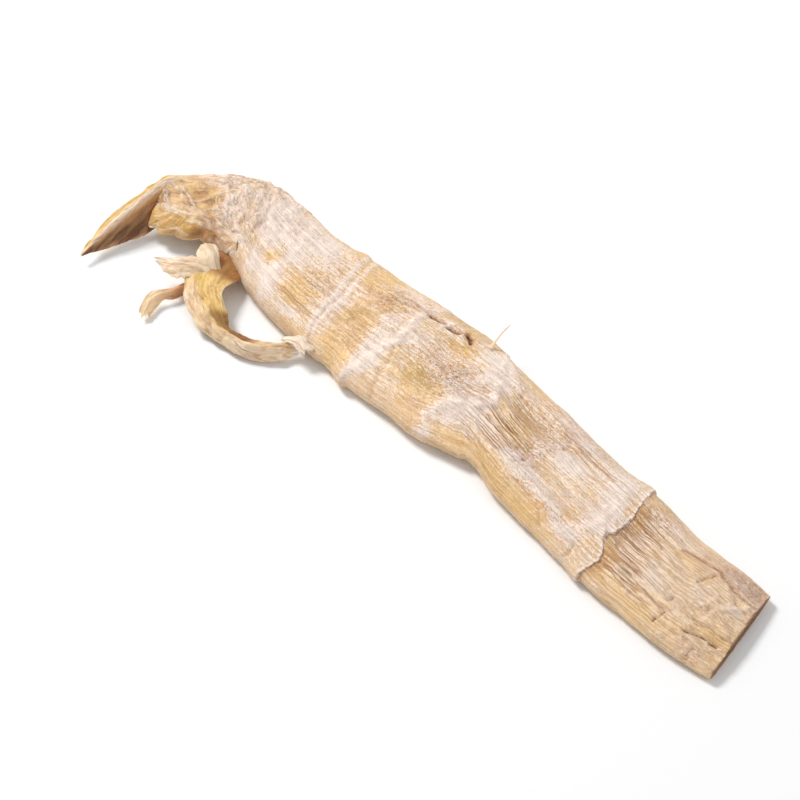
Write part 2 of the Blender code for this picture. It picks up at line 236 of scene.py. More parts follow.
def acrossLadder(nominal, share):
    # a rung's point: left + (right - left) * (1 + share) / 2, pulled tipwards by the rings' bow
    rungs, rings = body["rungs"], body["rings"]
    leftX, leftY, rightX, rightY = (smooth(nominal, rungs[:, 0], rungs[:, k]) for k in (1, 2, 3, 4))
    places = np.array([ring[0] for ring in rings])
    quarters = [-1.0, -0.5, 0.0, 0.5, 1.0]
    bows = np.array([smooth(share, quarters, [0.0, *ring[1], 0.0]) for ring in rings])
    k = np.clip(np.searchsorted(places, nominal, side="right") - 1, 0, len(places) - 2)
    before = np.take_along_axis(bows, k[None], axis=0)[0]
    after = np.take_along_axis(bows, k[None] + 1, axis=0)[0]
    bow = before + (after - before) * ease(nominal, places[k], places[k + 1])
    x = leftX + (rightX - leftX) * (1 + share) / 2 - bow
    return x, leftY + (rightY - leftY) * (1 + share) / 2


def squared(wave):
    # a circle's cosine or sine made a superellipse's: its sign times |wave|^(2 / power)
    return np.sign(wave) * np.abs(wave) ** (2 / body["upperPower"])


def sectionAngles():
    # angles with even steps along the outline of a superellipse with the nominal half width and height
    fine = np.linspace(0.0, 2 * math.pi, 2881)
    y, z = body["halfWidth"] * squared(np.cos(fine)), body["halfHeight"] * squared(np.sin(fine))
    run = np.concatenate([[0.0], np.cumsum(np.hypot(np.diff(y), np.diff(z)))])
    return np.interp(np.arange(body["around"]) / body["around"] * run[-1], run, fine)


def rowPlaces():
    # nominal distances whose steps are rowGap, and lipRowGap at the last ring's lip
    fine = np.linspace(0.0, body["rungs"][-1, 0], 6521)
    gap = np.full(fine.shape, body["rowGap"])
    closer = body["rowGap"] - body["lipRowGap"]
    gap -= closer * np.exp(-(((fine - body["lipAt"]) / body["lipReach"]) ** 4))
    count = np.concatenate([[0.0], np.cumsum(np.diff(fine) / gap[1:])])
    steps = int(count[-1])
    return np.interp(np.arange(steps + 1) / steps * count[-1], count, fine)


def bodyBase():
    # superellipse sections above and below the margins, (1 - |share|^power)^(1 / power) high, carried
    # along the ladder of rungs
    nominal, angle = np.meshgrid(rowPlaces(), sectionAngles(), indexing="ij")
    cos, sin = np.cos(angle), np.sin(angle)
    share = squared(cos)
    x, y = acrossLadder(nominal, share)
    under, upper = (smooth(nominal, body["rungs"][:, 0], body["rungs"][:, k]) for k in (5, 6))
    widest = under + body["widestAt"] * (upper - under)
    neck = ease(nominal, body["neckFrom"], body["neckTo"])
    power = np.where(sin >= 0, body["upperPower"], body["underPower"])
    power = power * (1 - neck) + body["neckPower"] * neck
    lift = np.clip(1 - np.abs(share) ** power, 0, 1) ** (1 / power)
    # the margins wander sideways and up and down, are scalloped at the neck and torn here and there
    wave = 0.25 * np.sin(nominal / 9.1 + 2.0) + 0.4 * noise(nominal / 9.0, share, 0.0, 3)
    wave += 0.12 * noise(nominal / 1.9, share, 0.0, 4) + 0.5 * neck * noise(nominal / 3.0, share, 0.0, 6)
    for place, side, size, reach in body["steps"]:
        step = size * ease(nominal, place, place + 1.2) * (1 - ease(nominal, place + 2.0, place + reach))
        wave = wave + step * ease(side * share, 0.5, 0.9)
    lobes = neck * (share < 0) * (np.abs(np.sin(math.pi * nominal / 8.5)) - 0.6)
    y = y + share * wave * np.abs(share) - lobes * share**2
    edgeLift = 0.5 * noise(nominal / 17.0, share * 0.7, 0.0, 5) * np.abs(share) ** 3
    z = widest + lift * np.where(sin >= 0, upper - widest, under - widest) + edgeLift
    return nominal, share, sin, x, y, z, (z - widest)


def outward(points, wraps):
    # unit normals of a grid of points: its step along rows crossed with its step around
    along = np.gradient(points, axis=0)
    if wraps:
        around = np.roll(points, -1, axis=1) - np.roll(points, 1, axis=1)
    else:
        around = np.gradient(points, axis=1)
    normal = np.cross(along, around)
    return normal / np.maximum(np.linalg.norm(normal, axis=-1, keepdims=True), 1e-9)


def chain(x, y, points, width):
    # 1 on the chain of links through the points, fading as a bell over the width away from it
    return np.max([near(x, y, a, b, width) for a, b in zip(points[:-1], points[1:])], axis=0)


# relief of the skin: s is the distance from the foot, w the place across, -25 at the left margin to 25
relief = {
    # the last ring's lip stands up from the skin and wanders: w, s
    "lip": [
        (-27, 61.9), (-22, 61.5), (-18, 60.4), (-14, 60.5), (-11, 62.0), (-8, 63.8), (-4, 62.0),
        (0, 60.0), (4, 59.6), (12, 60.6), (20, 62.0), (27, 62.8),
    ],
    "lipHeight": 0.68,
    # blunt ridges: points (s, w), half width, height, whiteness
    "ridges": [
        ([(224, 26), (223.2, 12), (222.6, 0), (222.6, -10), (223.4, -20), (224.5, -26)],
         0.9, 0.14, 0.55),
        ([(219.6, 26), (218.4, 12), (218.2, 0), (219, -10), (221.5, -21)], 0.8, 0.12, 0.5),
        ([(191, 26), (187, 16), (181, 9), (176, 3), (175, -3), (176, -8), (178, -15), (181, -21),
          (184, -26)], 1.4, 0.8, 0.55),
        ([(147, 26), (138, 12), (129.5, 1), (130, -2), (136, -8), (143, -14), (149, -19), (152, -26)],
         1.7, 0.9, 0.7),
        ([(253, 20), (249, 8), (248, -5), (249, -15), (251, -24)], 1.6, 0.45, 0.35),
        ([(267, 20), (263, 8), (262, -3), (264, -14)], 1.4, 0.35, 0.2),
        ([(106, -8), (97, -11), (88, -13), (77, -17), (72, -10), (67, -1), (66, 6), (69, 14)],
         1.5, 0.5, 0.6),
        ([(63.5, -8), (65, -4), (68, 0), (70, 3)], 0.9, 0.7, 0.5),
        ([(101, 11), (103, 4), (102, -4), (98, -9)], 1.3, 0.45, 0.35),
        ([(176, 3), (174.5, 6), (167, 7)], 0.8, 0.35, 0.2),
        ([(24, 5), (22, 3), (19, 0), (15, -2.5)], 0.9, 0.6, 0.3),
        ([(13.5, -3), (13.2, -8), (16, -10.5)], 0.8, 0.5, 0.2),
        ([(12, -1), (6, 8), (2, 12)], 1.4, 0.8, 0.3), ([(14, 12), (10, 8), (9, 2)], 1.0, 0.5, 0.15),
        ([(292, -24.5), (286, -22.5), (281, -19), (274, -15)], 1.1, 1.2, 0.9),
        ([(288, -20.5), (283, -17), (277, -12)], 0.8, 0.7, 0.5),
        ([(177.5, 18.5), (174, 16.8), (171, 14.2)], 0.7, 0.7, 0.8),
        ([(172, 13.2), (167, 12.6), (162, 14.2)], 0.9, 0.6, 0.6),
        ([(173, 18.6), (169, 17), (164.5, 14.8)], 0.7, 0.6, 0.5),
        ([(8, -2), (4, -5), (1, -6)], 1.0, 0.6, 0.2),
        ([(136, -25), (128, -22), (112, -20), (98, -22)], 1.2, 0.35, 0.1),
        ([(134, -19), (122, -15.5), (110, -15), (96, -17), (88, -21)], 1.0, 0.4, 0.1),
        ([(60, -23.5), (40, -23.5), (20, -22)], 1.0, 0.5, 0.1),
    ],
    # sunken lines: points (s, w), half width, depth, darkness of the painted shade in them
    "cracks": [
        ([(38, 14), (28, 16), (22, 16.5), (16, 15), (12, 13.5), (-1, 14)], 0.55, 0.8, 0.7),
        ([(16, -8.5), (8, -8), (-1, -7.5)], 0.5, 0.7, 0.6),
        ([(15.5, -15), (10, -13.5), (4, -12.5)], 0.5, 0.7, 0.8),
        ([(50, -13), (40, -12.7), (27, -13.5)], 0.35, 0.5, 0.7),
        ([(57, -15), (45, -15.6), (22, -15.5)], 0.35, 0.5, 0.7),
        ([(58, -6), (48, -6.5), (42, -7)], 0.35, 0.45, 0.7),
        ([(57, 8), (50, 8.5), (43, 7)], 0.4, 0.6, 0.8), ([(28.5, -9.5), (26, -6)], 0.6, 0.7, 0.5),
        ([(25, -13.5), (25.6, -20)], 0.5, 0.7, 0.6), ([(13, -17), (12.6, -20.5)], 0.5, 0.6, 0.5),
        ([(9, -18.5), (8.8, -24)], 0.5, 0.7, 0.5), ([(22.5, 14), (24, 6)], 0.6, 0.7, 0.5),
        ([(22, 2), (19, -1.2), (16, -3)], 0.5, 0.6, 0.5), ([(14.2, 0), (13.8, -7)], 0.5, 0.6, 0.4),
        ([(10, 10), (2, 8.5)], 0.5, 0.5, 0.4), ([(12, -2), (8, -6)], 0.5, 0.6, 0.5),
        ([(8, 3), (2, 5)], 0.5, 0.5, 0.4), ([(128, 13), (110, 14), (98, 15), (90, 15)], 0.5, 0.6, 0.7),
        ([(131, 16), (119, 16.5)], 0.45, 0.5, 0.5),
        ([(131, -5), (120, -4), (108, -4.5)], 0.4, 0.45, 0.6),
        ([(129, -8), (118, -8), (110, -7)], 0.4, 0.45, 0.6), ([(126, -13), (112, -12)], 0.4, 0.4, 0.5),
        ([(124, -1), (110, 0)], 0.4, 0.4, 0.5),
        ([(110, -14), (96, -15), (88, -18), (85, -22)], 0.5, 0.5, 0.4),
        ([(138, -20), (126, -18), (112, -18)], 0.5, 0.4, 0.25),
        ([(137, -21), (124, -21), (106, -24)], 0.5, 0.4, 0.25),
        ([(71.5, -18), (70.5, -23)], 0.6, 0.6, 0.5), ([(101, 14), (99, 9)], 0.8, 0.5, 0.5),
        ([(197.5, 17), (190, 15), (183, 15.3), (177, 15)], 0.45, 1.0, 1.0),
        ([(200, 12), (194, 13), (188, 13.6)], 0.45, 0.5, 0.6), ([(204, 9), (193, 9.5)], 0.45, 0.4, 0.5),
        ([(173, -6), (172, -14), (172, -25)], 0.7, 0.5, 0.4), ([(177, -21), (172, -23)], 0.6, 0.5, 0.4),
        ([(221.6, 26), (220.8, 12), (220.4, 0), (220.8, -10), (222, -22)], 0.45, 0.2, 0.35),
        ([(217, 26), (216, 12), (215.8, 0), (216.6, -12)], 0.4, 0.15, 0.25),
        ([(242, -13.5), (227, -13.5)], 0.4, 0.35, 0.5), ([(243, -15), (227, -15.3)], 0.4, 0.35, 0.5),
        ([(243, -17), (228, -17)], 0.4, 0.35, 0.5), ([(273, 9), (270, 1), (272, -8)], 1.0, 0.6, 0.5),
        ([(290, -21.5), (284, -18.5), (279, -14.5)], 0.8, 0.8, 0.8),
        ([(276, 2), (277, -5), (281, -11)], 0.7, 0.6, 0.5),
        ([(299, -16), (295, -19), (290, -23)], 0.7, 0.9, 0.9),
        ([(303, -18), (297, -22)], 0.6, 0.8, 0.8),
    ],
    # the torn hole beside the right margin, in three parts: points (s, w), half width
    "holes": [
        ([(182, 15.0), (176.5, 15.6)], 0.85), ([(172.5, 15.0), (168, 15.9)], 1.0),
        ([(166.5, 18.0), (163, 17.6), (160.5, 16.2)], 0.75),
    ],
    # folds that fan out from the neck's twisted end: points (s, w), half width, height
    "fan": [
        ([(317, 6), (312, 2.7), (307, -4.6), (302.5, -10), (298, -15)], 0.55, 1.1),
        ([(318, 4.5), (313, 0.5), (308.4, -6.5), (303.8, -12), (299.5, -16.5)], 0.5, 1.0),
        ([(318, 2), (316, -6), (313, -14), (309, -20)], 0.55, 0.9),
        ([(311, -10), (306, -16), (300, -20)], 0.5, 0.6),
        ([(318, 9), (311, 8), (303, 8), (296, 6)], 0.8, 0.7),
        ([(319, 0), (316, -10), (313, -17)], 0.7, 0.9), ([(318, 16), (308, 14), (299, 12)], 0.7, 0.6),
        ([(316, -14), (310, -19), (304, -21), (297, -22)], 0.8, 0.9),
        ([(303, -8), (297, -4), (292, -6)], 0.6, 0.6), ([(300, -14), (296, -11), (291, -12)], 0.6, 0.6),
        ([(318, -20), (312, -23), (305, -25)], 0.7, 0.8), ([(316, 20), (306, 20), (296, 18)], 0.8, 0.8),
    ],
    # where the fibres stand out, and where the skin is pitted: s, w, reach along, reach across, strength
    "fibrous": [
        (50, -8, 12, 16, 0.62), (30, -18, 14, 7, 0.25), (120, -4, 15, 11, 0.9), (120, -21, 22, 5, 0.3),
        (52, 12, 8, 12, 0.3), (236, -15, 11, 4, 0.45), (90, 16, 30, 6, 0.4), (200, -16, 20, 7, 0.15),
    ],
    "grainy": [
        (149, -2, 8, 8, 1.0), (160, 1, 10, 7, 0.6), (105, 0, 5, 12, 0.9), (9, 19, 10, 5, 0.9),
        (52, 14, 8, 10, 0.6), (200, 10, 11, 6, 0.5), (97, -11, 12, 3, 0.6), (82, -15, 9, 3, 0.6),
        (284, -4, 12, 14, 0.5), (115, 12, 12, 8, 0.5), (232, 3, 10, 12, 0.45), (258, 8, 12, 9, 0.4),
        (188, -4, 8, 10, 0.4),
    ],
    # the neck's wrinkles, and then its fan, set in between two distances
    "neckAt": (266.0, 282.0),
    "fanAt": (293.0, 304.0),
    "ridgeHeight": 1.1,
    "crackDepth": 1.1,
    "holeDepth": 2.6,
    "furrowDepth": 0.34,
    "neckDepth": 2.3,
}


def lipFields(s, w, v):
    # the last ring's lip: a swelling on its tip side, a steep drop on its foot side, a ragged line, and
    # painted shade on its foot side where its shadow falls
    ragged = 0.5 * noise(w / 3.1, 0.4, v / 5, 11) + 0.45 * noise(w / 1.2, 0.4, v / 3, 12)
    places = np.array(relief["lip"], float)
    past = s - smooth(w, places[:, 0], places[:, 1]) - ragged
    lip = relief["lipHeight"] * (0.85 + 0.4 * noise(w / 6.0, 0.4, v / 8, 13))
    lip = lip * (0.55 + 0.45 * ease(-w, -6, 6))
    before, behind = np.exp(-np.abs(past) / 2.6), np.exp(-np.abs(past) / 0.3)
    height = lip * np.where(past >= 0, 0.7 * before + 0.3 * np.exp(-((past / 0.8) ** 2)), behind)
    height -= 0.25 * (past < 0) * np.exp(-np.abs(past) / 4.0)
    slide = lip * np.where(past >= 0, 0.5 * np.exp(-(past**2)), -0.3 * np.exp(-((past / 0.7) ** 2)))
    # painted shade: darker on the foot side of the lip, where the lip's shadow falls
    lipShadow = (past < 0) * np.exp(-np.abs(past) / 3.6)
    white = 1.3 * np.exp(-(((past - 0.1) / 0.6) ** 2)) + np.where(past >= 0, 0.25 * np.exp(-past / 7.0), 0.0)
    return height, slide, lipShadow, white


def strongest(s, w, chains, part):
    # of a list of chains, the strongest bell times the named number of each
    total = np.zeros(s.shape)
    for points, width, *numbers in chains:
        total = np.maximum(total, chain(s, w, points, width) * numbers[part])
    return total


def fibreFields(s, w, v, share, plain):
    # how fibrous the skin is, and its furrows: fine and deep below the last ring, wavy along the middle
    lined = spots(s, w, relief["fibrous"])
    lined = plain * np.clip(0.28 + lined, 0, 1.4) * (1 - 0.45 * ease(np.abs(share), 0.55, 0.85))
    wander = 1.1 * noise(s / 26.0, w / 12, v / 9, 23) + 0.35 * noise(s / 8.0, w / 6, v / 6, 19)
    furrows = 0.7 - creases((w + wander) / 1.9, s / 40.0, v / 3.0, 24, 2)
    fine = noise((w + wander) / 1.15, s / 22.0, v / 1.6, 25)
    return lined, lined * relief["furrowDepth"] * (furrows + 0.45 * fine)


def crumpleFields(s, w, v, sBent, wBent, bend):
    # crumpled skin near the foot: pillows less cross wrinkles plus thin crests; then where it lies, its
    # crests, for painted highlights, and the hollows beside them, for painted shade, both where a noise
    # crosses zero
    crumpled = (1 - ease(s, 20.0, 34.0)) * (0.7 + 0.3 * noise(s / 14, w / 14, v / 9, 26))
    pillows = fbm(sBent / 6.5, wBent / 5.0, v / 5, 27, 2)
    crossed = creases(sBent / 5.0 + 0.05 * w, w / 13.0, v / 8, 28, 2)
    crinkled = creases(sBent / 8.0 + 0.5 * bend, wBent / 6.5 - 0.4 * bend, v / 5, 37, 2)
    crest = ease(crinkled, 0.76, 0.93)
    shadedHollow = ease(crinkled, 0.55, 0.72) * (1 - ease(crinkled, 0.72, 0.86))
    return crumpled * (0.5 * pillows - 0.3 * (crossed - 0.45) + 0.3 * crest), crumpled, crest, shadedHollow


def neckFields(s, w, v, sBent, wBent, bend, neck, fan, upper):
    # the shrivelled neck: wrinkles slanting down to its left margin, then puffs between fanning folds;
    # its height, the wrinkles and where they lie, the folds, the valleys beside them for painted shade, and
    # the puffs
    across, along = 0.88 * sBent - 0.48 * wBent, 0.48 * sBent + 0.88 * wBent
    slanting = creases(across / 5.2 + 0.5 * bend, along / 16.0, v / 5.0, 31, 2)
    knots = creases(sBent / 8.0, wBent / 8.0 + 0.7 * bend, v / 4.5, 32, 2)
    wrinkles, wrinkled = 0.65 * slanting + 0.4 * knots, neck * (1 - 0.8 * fan)
    folds = strongest(sBent, wBent, relief["fan"], 0) * upper * ease(s, 290, 296)
    # painted shade: the valleys beside the folds
    wider = [(points, 2.6 * width, height) for points, width, height in relief["fan"]]
    shadedValleys = strongest(sBent, wBent, wider, 0) * upper * ease(s, 290, 296) - folds
    puffs = fbm(s / 9.0, w / 8.0, v / 5.0, 34, 2)
    height = wrinkled * relief["neckDepth"] * (wrinkles - 0.5) + fan * neck * (folds + 0.9 * puffs)
    height -= 0.5 * fan * neck * creases(s / 9, w / 3.0, v / 4, 36, 1)
    return height, wrinkles, wrinkled, folds, shadedValleys, puffs


def bodyFields(s, share, x, y, v, top):
    # heights along the normal, in millimetres: unevenness, swells, lip, ridges, fibres, crumples, pits
    # and the neck, less cracks and the hole; with the colour masks that go with them, 0 to 1
    w = share * body["halfWidth"]
    # places wander a little, so that no ridge or crack runs dead straight
    sBent = s + 1.1 * noise(s / 6.0, w / 4.5, v / 5, 14) + 0.4 * noise(s / 2.2, w / 2.2, v / 3, 15)
    wBent = w + 0.8 * noise(s / 6.0, w / 4.5, v / 5, 16) + 0.35 * noise(s / 2.2, w / 2.2, v / 3, 17)
    bend = noise(s / 7.0, w / 7.0, v / 6.0, 38)
    upper = ease(top, 0.0, 0.25)
    neck = ease(s + 0.35 * w, *relief["neckAt"])
    fan = ease(s - 0.25 * w, *relief["fanAt"])
    plain = 1 - neck
    calm = 1 - 0.85 * np.abs(share) ** 4 * plain
    lips, slide, lipShadow, white = lipFields(s, w, v)
    swells = spots(x, y, body["swells"]) * top
    uneven = 0.8 * fbm(s / 21.0, w / 12.0, v / 8.0, 21, 2) + 0.42 * fbm(s / 8.5, w / 5.0, v / 5.0, 20, 2)
    uneven = uneven * calm

    # blunt ridges where sheaths had grown, cracks and the torn hole
    broken = 0.75 + 0.45 * noise(s / 4, w / 4, v / 4, 18) + 0.6 * noise(s / 1.2, w / 1.3, v / 1.5, 39)
    ridged = strongest(sBent, wBent, relief["ridges"], 0) * broken
    wider = [(points, 1.45 * width, *numbers) for points, width, *numbers in relief["ridges"]]
    ridgeWhite = strongest(sBent, wBent, wider, 1)
    cracked = strongest(sBent, wBent, relief["cracks"], 0) * upper
    # the cracks' painted shade
    crackShade = strongest(sBent, wBent, relief["cracks"], 1) * upper
    # the torn hole, sunk and filled with painted shade
    wHole = 0.5 * (w + wBent)
    hole = np.max([chain(sBent, wHole, *part) for part in relief["holes"]], axis=0) * upper

    # fibres, crumples near the foot, pits where the pith shrank, and the neck
    lined, fibres = fibreFields(s, w, v, share, plain)
    crumple, crumpled, crest, shadedHollow = crumpleFields(s, w, v, sBent, wBent, bend)
    grainy = spots(s, w, relief["grainy"]) * upper
    pits = grainy * (0.12 - 0.42 * (1 - ease(cells(s / 1.7, w / 1.5, v / 1.6, 29), 0.1, 0.62)))
    rough = 0.2 * noise(s / 1.7, w / 1.5, v / 1.5, 30) + 0.26 * noise(s / 3.6, w / 2.4, v / 2.5, 35)
    atNeck = neckFields(s, w, v, sBent, wBent, bend, neck, fan, upper)
    neckHeight, wrinkles, wrinkled, folds, shadedValleys, puffs = atNeck

    crisp = fibres + crumple + pits + rough * (1 - 0.3 * neck)
    height = uneven + swells + lips + (relief["ridgeHeight"] * ridged + crisp) * calm + neckHeight
    height = height - relief["crackDepth"] * cracked - relief["holeDepth"] * hole
    # painted shade: darker where the fibres, crumples and pits sink below the skin, in the troughs of the
    # neck's wrinkles and between its puffs
    recessShade = plain * np.clip(-(0.65 * fibres + 0.6 * crumple + 1.3 * pits - 0.06) / 0.42, 0, 1)
    recessShade += wrinkled * np.clip(1.8 * (0.46 - wrinkles), 0, 0.8) + fan * neck * np.clip(-0.5 * puffs, 0, 0.4)
    masks = bodyColours(s, w, v, upper, neck, fan, grainy, wrinkles)
    # whiter: the lip's line and the ridges' own white, painted highlights on the neck's fold crests, the
    # crumples' crests and the wrinkles' crests; less white in the painted shade under the lip
    masks["bloomAndHighlight"] = masks["bloomAndHighlight"] + 0.9 * white + 0.9 * ridgeWhite * upper + 1.2 * folds - 0.6 * lipShadow
    masks["bloomAndHighlight"] += 0.3 * crumpled * crest * upper + 0.9 * wrinkled * upper * ease(wrinkles, 0.76, 0.88)
    # browner: painted shade under the lip, in the cracks, beside the neck's folds, in the hole and in the
    # crumples' hollows
    masks["brown"] = masks["brown"] + 0.6 * lipShadow * (0.85 + 0.3 * noise(w / 3, s / 8, v / 5, 45)) * plain
    masks["brown"] += 0.55 * crackShade + 0.45 * shadedValleys + 0.8 * hole + 0.35 * crumpled * shadedHollow * upper
    # painted shade in a thin band beside each wrinkle's crest
    shadeBand = ease(wrinkles, 0.62, 0.7) * (1 - ease(wrinkles, 0.72, 0.8))
    masks["brown"] += wrinkled * upper * (0.75 * shadeBand - 0.1)
    # painted shade in the hollows, the cracks and the hole
    masks["recessShade"] = recessShade * 0.9 + 0.85 * crackShade + 1.3 * hole
    masks["still"] = neck * (0.3 + 0.7 * fan) + 0.6 * (1 - ease(s, 30, 60))
    masks["margin"] = ease(np.abs(share), 0.7, 0.95) * plain
    shrivelled = ease(s + 0.35 * w, 254.0, 292.0) * (1 - 0.5 * fan) + 0.4 * crumpled * upper + 0.2 * grainy
    masks["shrivelled"] = shrivelled * (0.75 + 0.9 * fbm(s / 6.0, w / 5.0, v / 5.0, 46, 2))
    masks["lined"], masks["grainy"] = lined / 1.4, grainy + 0.1 * wrinkled
    return height, slide * top, {name: np.clip(mask, 0, 1) for name, mask in masks.items()}


# tints of the skin: s, w, reach along, reach across, strength
tinted = {
    "bloomAndHighlight": [
        (248, -18, 10, 7, 0.5), (252, 6, 10, 12, 0.45), (240, 18, 10, 6, 0.4), (262, 8, 8, 12, 0.35),
        (232, 6, 8, 8, 0.3), (150, 19, 9, 5, 0.5), (126, -9, 7, 6, 0.35), (284, 2, 7, 10, 0.35),
        (270, 14, 6, 11, 0.9), (240, 13, 6, 5, 0.7), (252, -14, 4, 5, 0.7), (235, -20, 6, 2.5, 1.0),
        (216, -3, 6, 9, 0.5), (181, -12, 5, 9, 0.8), (186, 3, 6, 6, 0.5), (135, -8, 6, 6, 0.9),
        (144, -17, 5, 4, 0.7), (140, 13, 8, 9, 0.6), (92, 7, 7, 4, 1.0), (97, -10, 12, 3, 0.7),
        (78, -16, 8, 3, 0.6), (72, 8, 6, 9, 0.7), (67, -2, 4, 6, 0.6), (147, -3, 6, 5, 0.5),
        (108, -8, 4, 4, 0.6), (44, 17, 8, 5, 0.4), (36, -4, 7, 8, 0.4), (18, 4, 6, 5, 0.3),
        (178, 16, 4, 3, 0.7), (9, 19, 7, 4, 0.5), (256, 6, 8, 8, 0.4), (206, 20, 12, 4, 0.3),
        (171, 3, 4, 4, 0.5), (8, -13, 5, 2, 0.3), (288, -10, 4, 8, 0.5), (309, -15, 3, 3, 0.8),
        (75, 20, 10, 5, 0.5), (100, 20, 12, 5, 0.4), (5, 5, 5, 5, 0.4), (10, -20, 8, 4, 0.3),
        (262, -18, 9, 6, 0.4), (265, 0, 5, 6, 0.3),
    ],
    "ochre": [
        (190, -18, 9, 8, 0.5), (207, -8, 9, 9, 0.5), (207, 8, 9, 9, 0.55), (190, 2, 8, 10, 0.35),
        (149, 0, 8, 10, 0.6), (150, -14, 10, 7, 0.35), (88, -20, 9, 6, 0.4), (10, -4, 10, 14, 0.2),
        (12, 10, 8, 6, 0.1), (150, -18, 8, 6, 0.35), (215, 14, 7, 8, 0.35), (233, 0, 8, 10, 0.6),
        (238, -14, 9, 6, 0.55), (211, 18, 5, 5, 0.9), (201, -19, 10, 4, 0.9), (199, -3, 9, 6, 0.6),
        (256, -6, 4, 7, 0.8), (160, -12, 4, 9, 0.7), (163, 12, 8, 3, 0.7), (172, 21, 12, 3, 0.4),
        # the spots at 58 and 57, just below the last ring's lip, are painted shade
        (115, -20, 20, 5, 0.6), (88, -18, 9, 4, 0.5), (58, -15, 3, 5, 1.0), (57, 9, 3, 5, 0.6),
        (35, 11, 7, 3, 0.6), (22, -18, 14, 5, 0.25), (6, -10, 7, 2, 1.0), (78, -10, 4, 5, 0.35),
        (195, 6, 9, 6, 0.4), (40, -20, 14, 4, 0.4), (302, 0, 5, 5, 1.3), (297, -6, 5, 6, 1.1),
        (306, -17, 6, 5, 1.1), (309, -23, 6, 3, 1.0), (305, -10, 4, 4, 0.9), (257, -8, 4, 5, 0.5),
        (242, -12, 8, 6, 0.5), (190, -14, 6, 5, 0.4), (228, -22, 8, 3, 0.5), (22, 10, 4, 3, 0.4),
        (97, 10, 4, 3, 0.35), (75, 3, 5, 6, 0.3), (226, 20, 10, 5, 0.3),
    ],
    "olive": [
        (157, -8, 11, 5, 1.0), (162, 4, 8, 5, 0.35), (202, -4, 7, 4, 0.5), (256, -10, 2.5, 3, 0.7),
        (96, -5, 3.5, 4, 0.6), (79, -12, 2.5, 4, 0.6), (117, 5, 10, 7, 0.55), (112, -3, 8, 8, 0.5),
        (160, 13, 8, 4, 0.4), (54, 20, 5, 5, 0.5), (107, -18, 10, 4, 0.4), (88, 1, 4, 3, 0.3),
        (291, -18, 2, 4, 0.8), (308, -21, 6, 2.5, 0.9), (300, 5, 4, 4, 0.5), (130, 8, 8, 6, 0.3),
        (182, 22, 10, 3, 0.4), (209, -2, 3, 4, 0.4), (60, -20, 3, 3, 0.2),
    ],
    "lilac": [
        (9, 19, 10, 4.5, 1.2), (16, 20, 8, 4, 0.8), (100, 20, 14, 6, 0.55), (74, 12, 8, 10, 0.4),
        (220, -2, 7, 10, 0.5), (267, 12, 6, 10, 0.5), (160, 2, 8, 5, 0.55), (240, 14, 7, 6, 0.4),
        (50, -2, 8, 8, 0.35), (150, -2, 6, 6, 0.3), (310, -13, 6, 5, 0.4), (42, 18, 8, 5, 0.45),
        (81, -15, 8, 4, 0.4), (204, 9, 8, 5, 0.35), (118, -7, 12, 6, 0.35), (252, -15, 5, 5, 0.4),
        (13, -22, 8, 3, 0.25), (300, 9, 5, 5, 0.5), (28, -6, 8, 8, 0.2), (152, -19, 9, 5, 0.35),
    ],
    "brown": [
        # the first two spots, just below the last ring's lip, are painted shade
        (58, -16, 3, 6, 0.3), (58, 4, 3, 9, 0.25), (50, 12, 8, 9, 0.1), (318, -9, 4, 6, 0.8),
        (106, 5, 5, 7, 0.3), (150, 2, 6, 5, 0.3), (298, -20, 6, 3, 0.35), (118, -3, 12, 7, 0.25),
        (302.5, -0.7, 3, 5, 0.95), (297, -7, 2.5, 3, 0.6), (305, -11.5, 2, 3, 0.35),
        (28, 17, 10, 4, 0.3), (8, 20, 10, 4, 0.35), (101, 11, 3, 4, 0.3), (276, 5, 5, 7, 0.25),
        (48, -8, 10, 10, 0.2), (196, 12, 8, 4, 0.2),
    ],
}


def bodyColours(s, w, v, upper, neck, fan, grainy, wrinkles):
    # how much of each tint every point has: an even share, broad and patchy noise, and its own places
    sBent, wBent = s + 2.5 * noise(s / 9, w / 7, v / 6, 47), w + 2.0 * noise(s / 8, w / 7, v / 6, 48)
    at = {name: spots(sBent, wBent, places) * upper for name, places in tinted.items()}
    patchy = fbm(s / 13.0, w / 8.0, v / 7.0, 41, 3)
    broad = fbm(s / 36.0, w / 18.0, v / 9.0, 42, 2)
    atFoot = 1 - ease(s, 30.0, 44.0)
    bloomAndHighlight = 0.27 + 0.24 * patchy + at["bloomAndHighlight"] - 0.42 * at["ochre"] - 0.25 * at["olive"] - 0.2 * at["brown"]
    # on the neck's wrinkles: painted highlight on the crests, painted shade in the troughs
    bloomAndHighlight = bloomAndHighlight * (1 - 0.45 * fan) + 0.5 * neck * (1 - fan) * (wrinkles - 0.5)
    bloomAndHighlight = bloomAndHighlight - atFoot * 0.4 * (bloomAndHighlight - 0.3)
    ochre = 0.22 + 0.22 * broad - 0.1 * patchy + at["ochre"] - 0.35 * at["bloomAndHighlight"] + 0.3 * fan * neck
    ochre = ochre - atFoot * 0.4 * (ochre - 0.3)
    olive = 0.08 + 0.12 * broad + at["olive"] * (0.8 + 0.5 * patchy)
    lilac = 0.12 + 0.2 * fbm(s / 17.0, w / 10.0, v / 8.0, 44, 2) + at["lilac"] - 0.1 * neck * (1 - fan)
    brown = 0.06 + 0.1 * patchy + at["brown"] + 0.12 * grainy
    return {"bloomAndHighlight": bloomAndHighlight, "ochre": ochre, "olive": olive, "lilac": lilac, "brown": brown}


def endQuads(first, around, outwardLast):
    # closes a tube's end by a strip of quads between its upper half and its lower half
    j = np.arange(around // 2)
    upper, lower = first + j, first + (around - j) % around
    quads = np.stack([upper, first + j + 1, first + around - j - 1, lower], axis=-1)
    return quads[:, ::-1] if outwardLast else quads


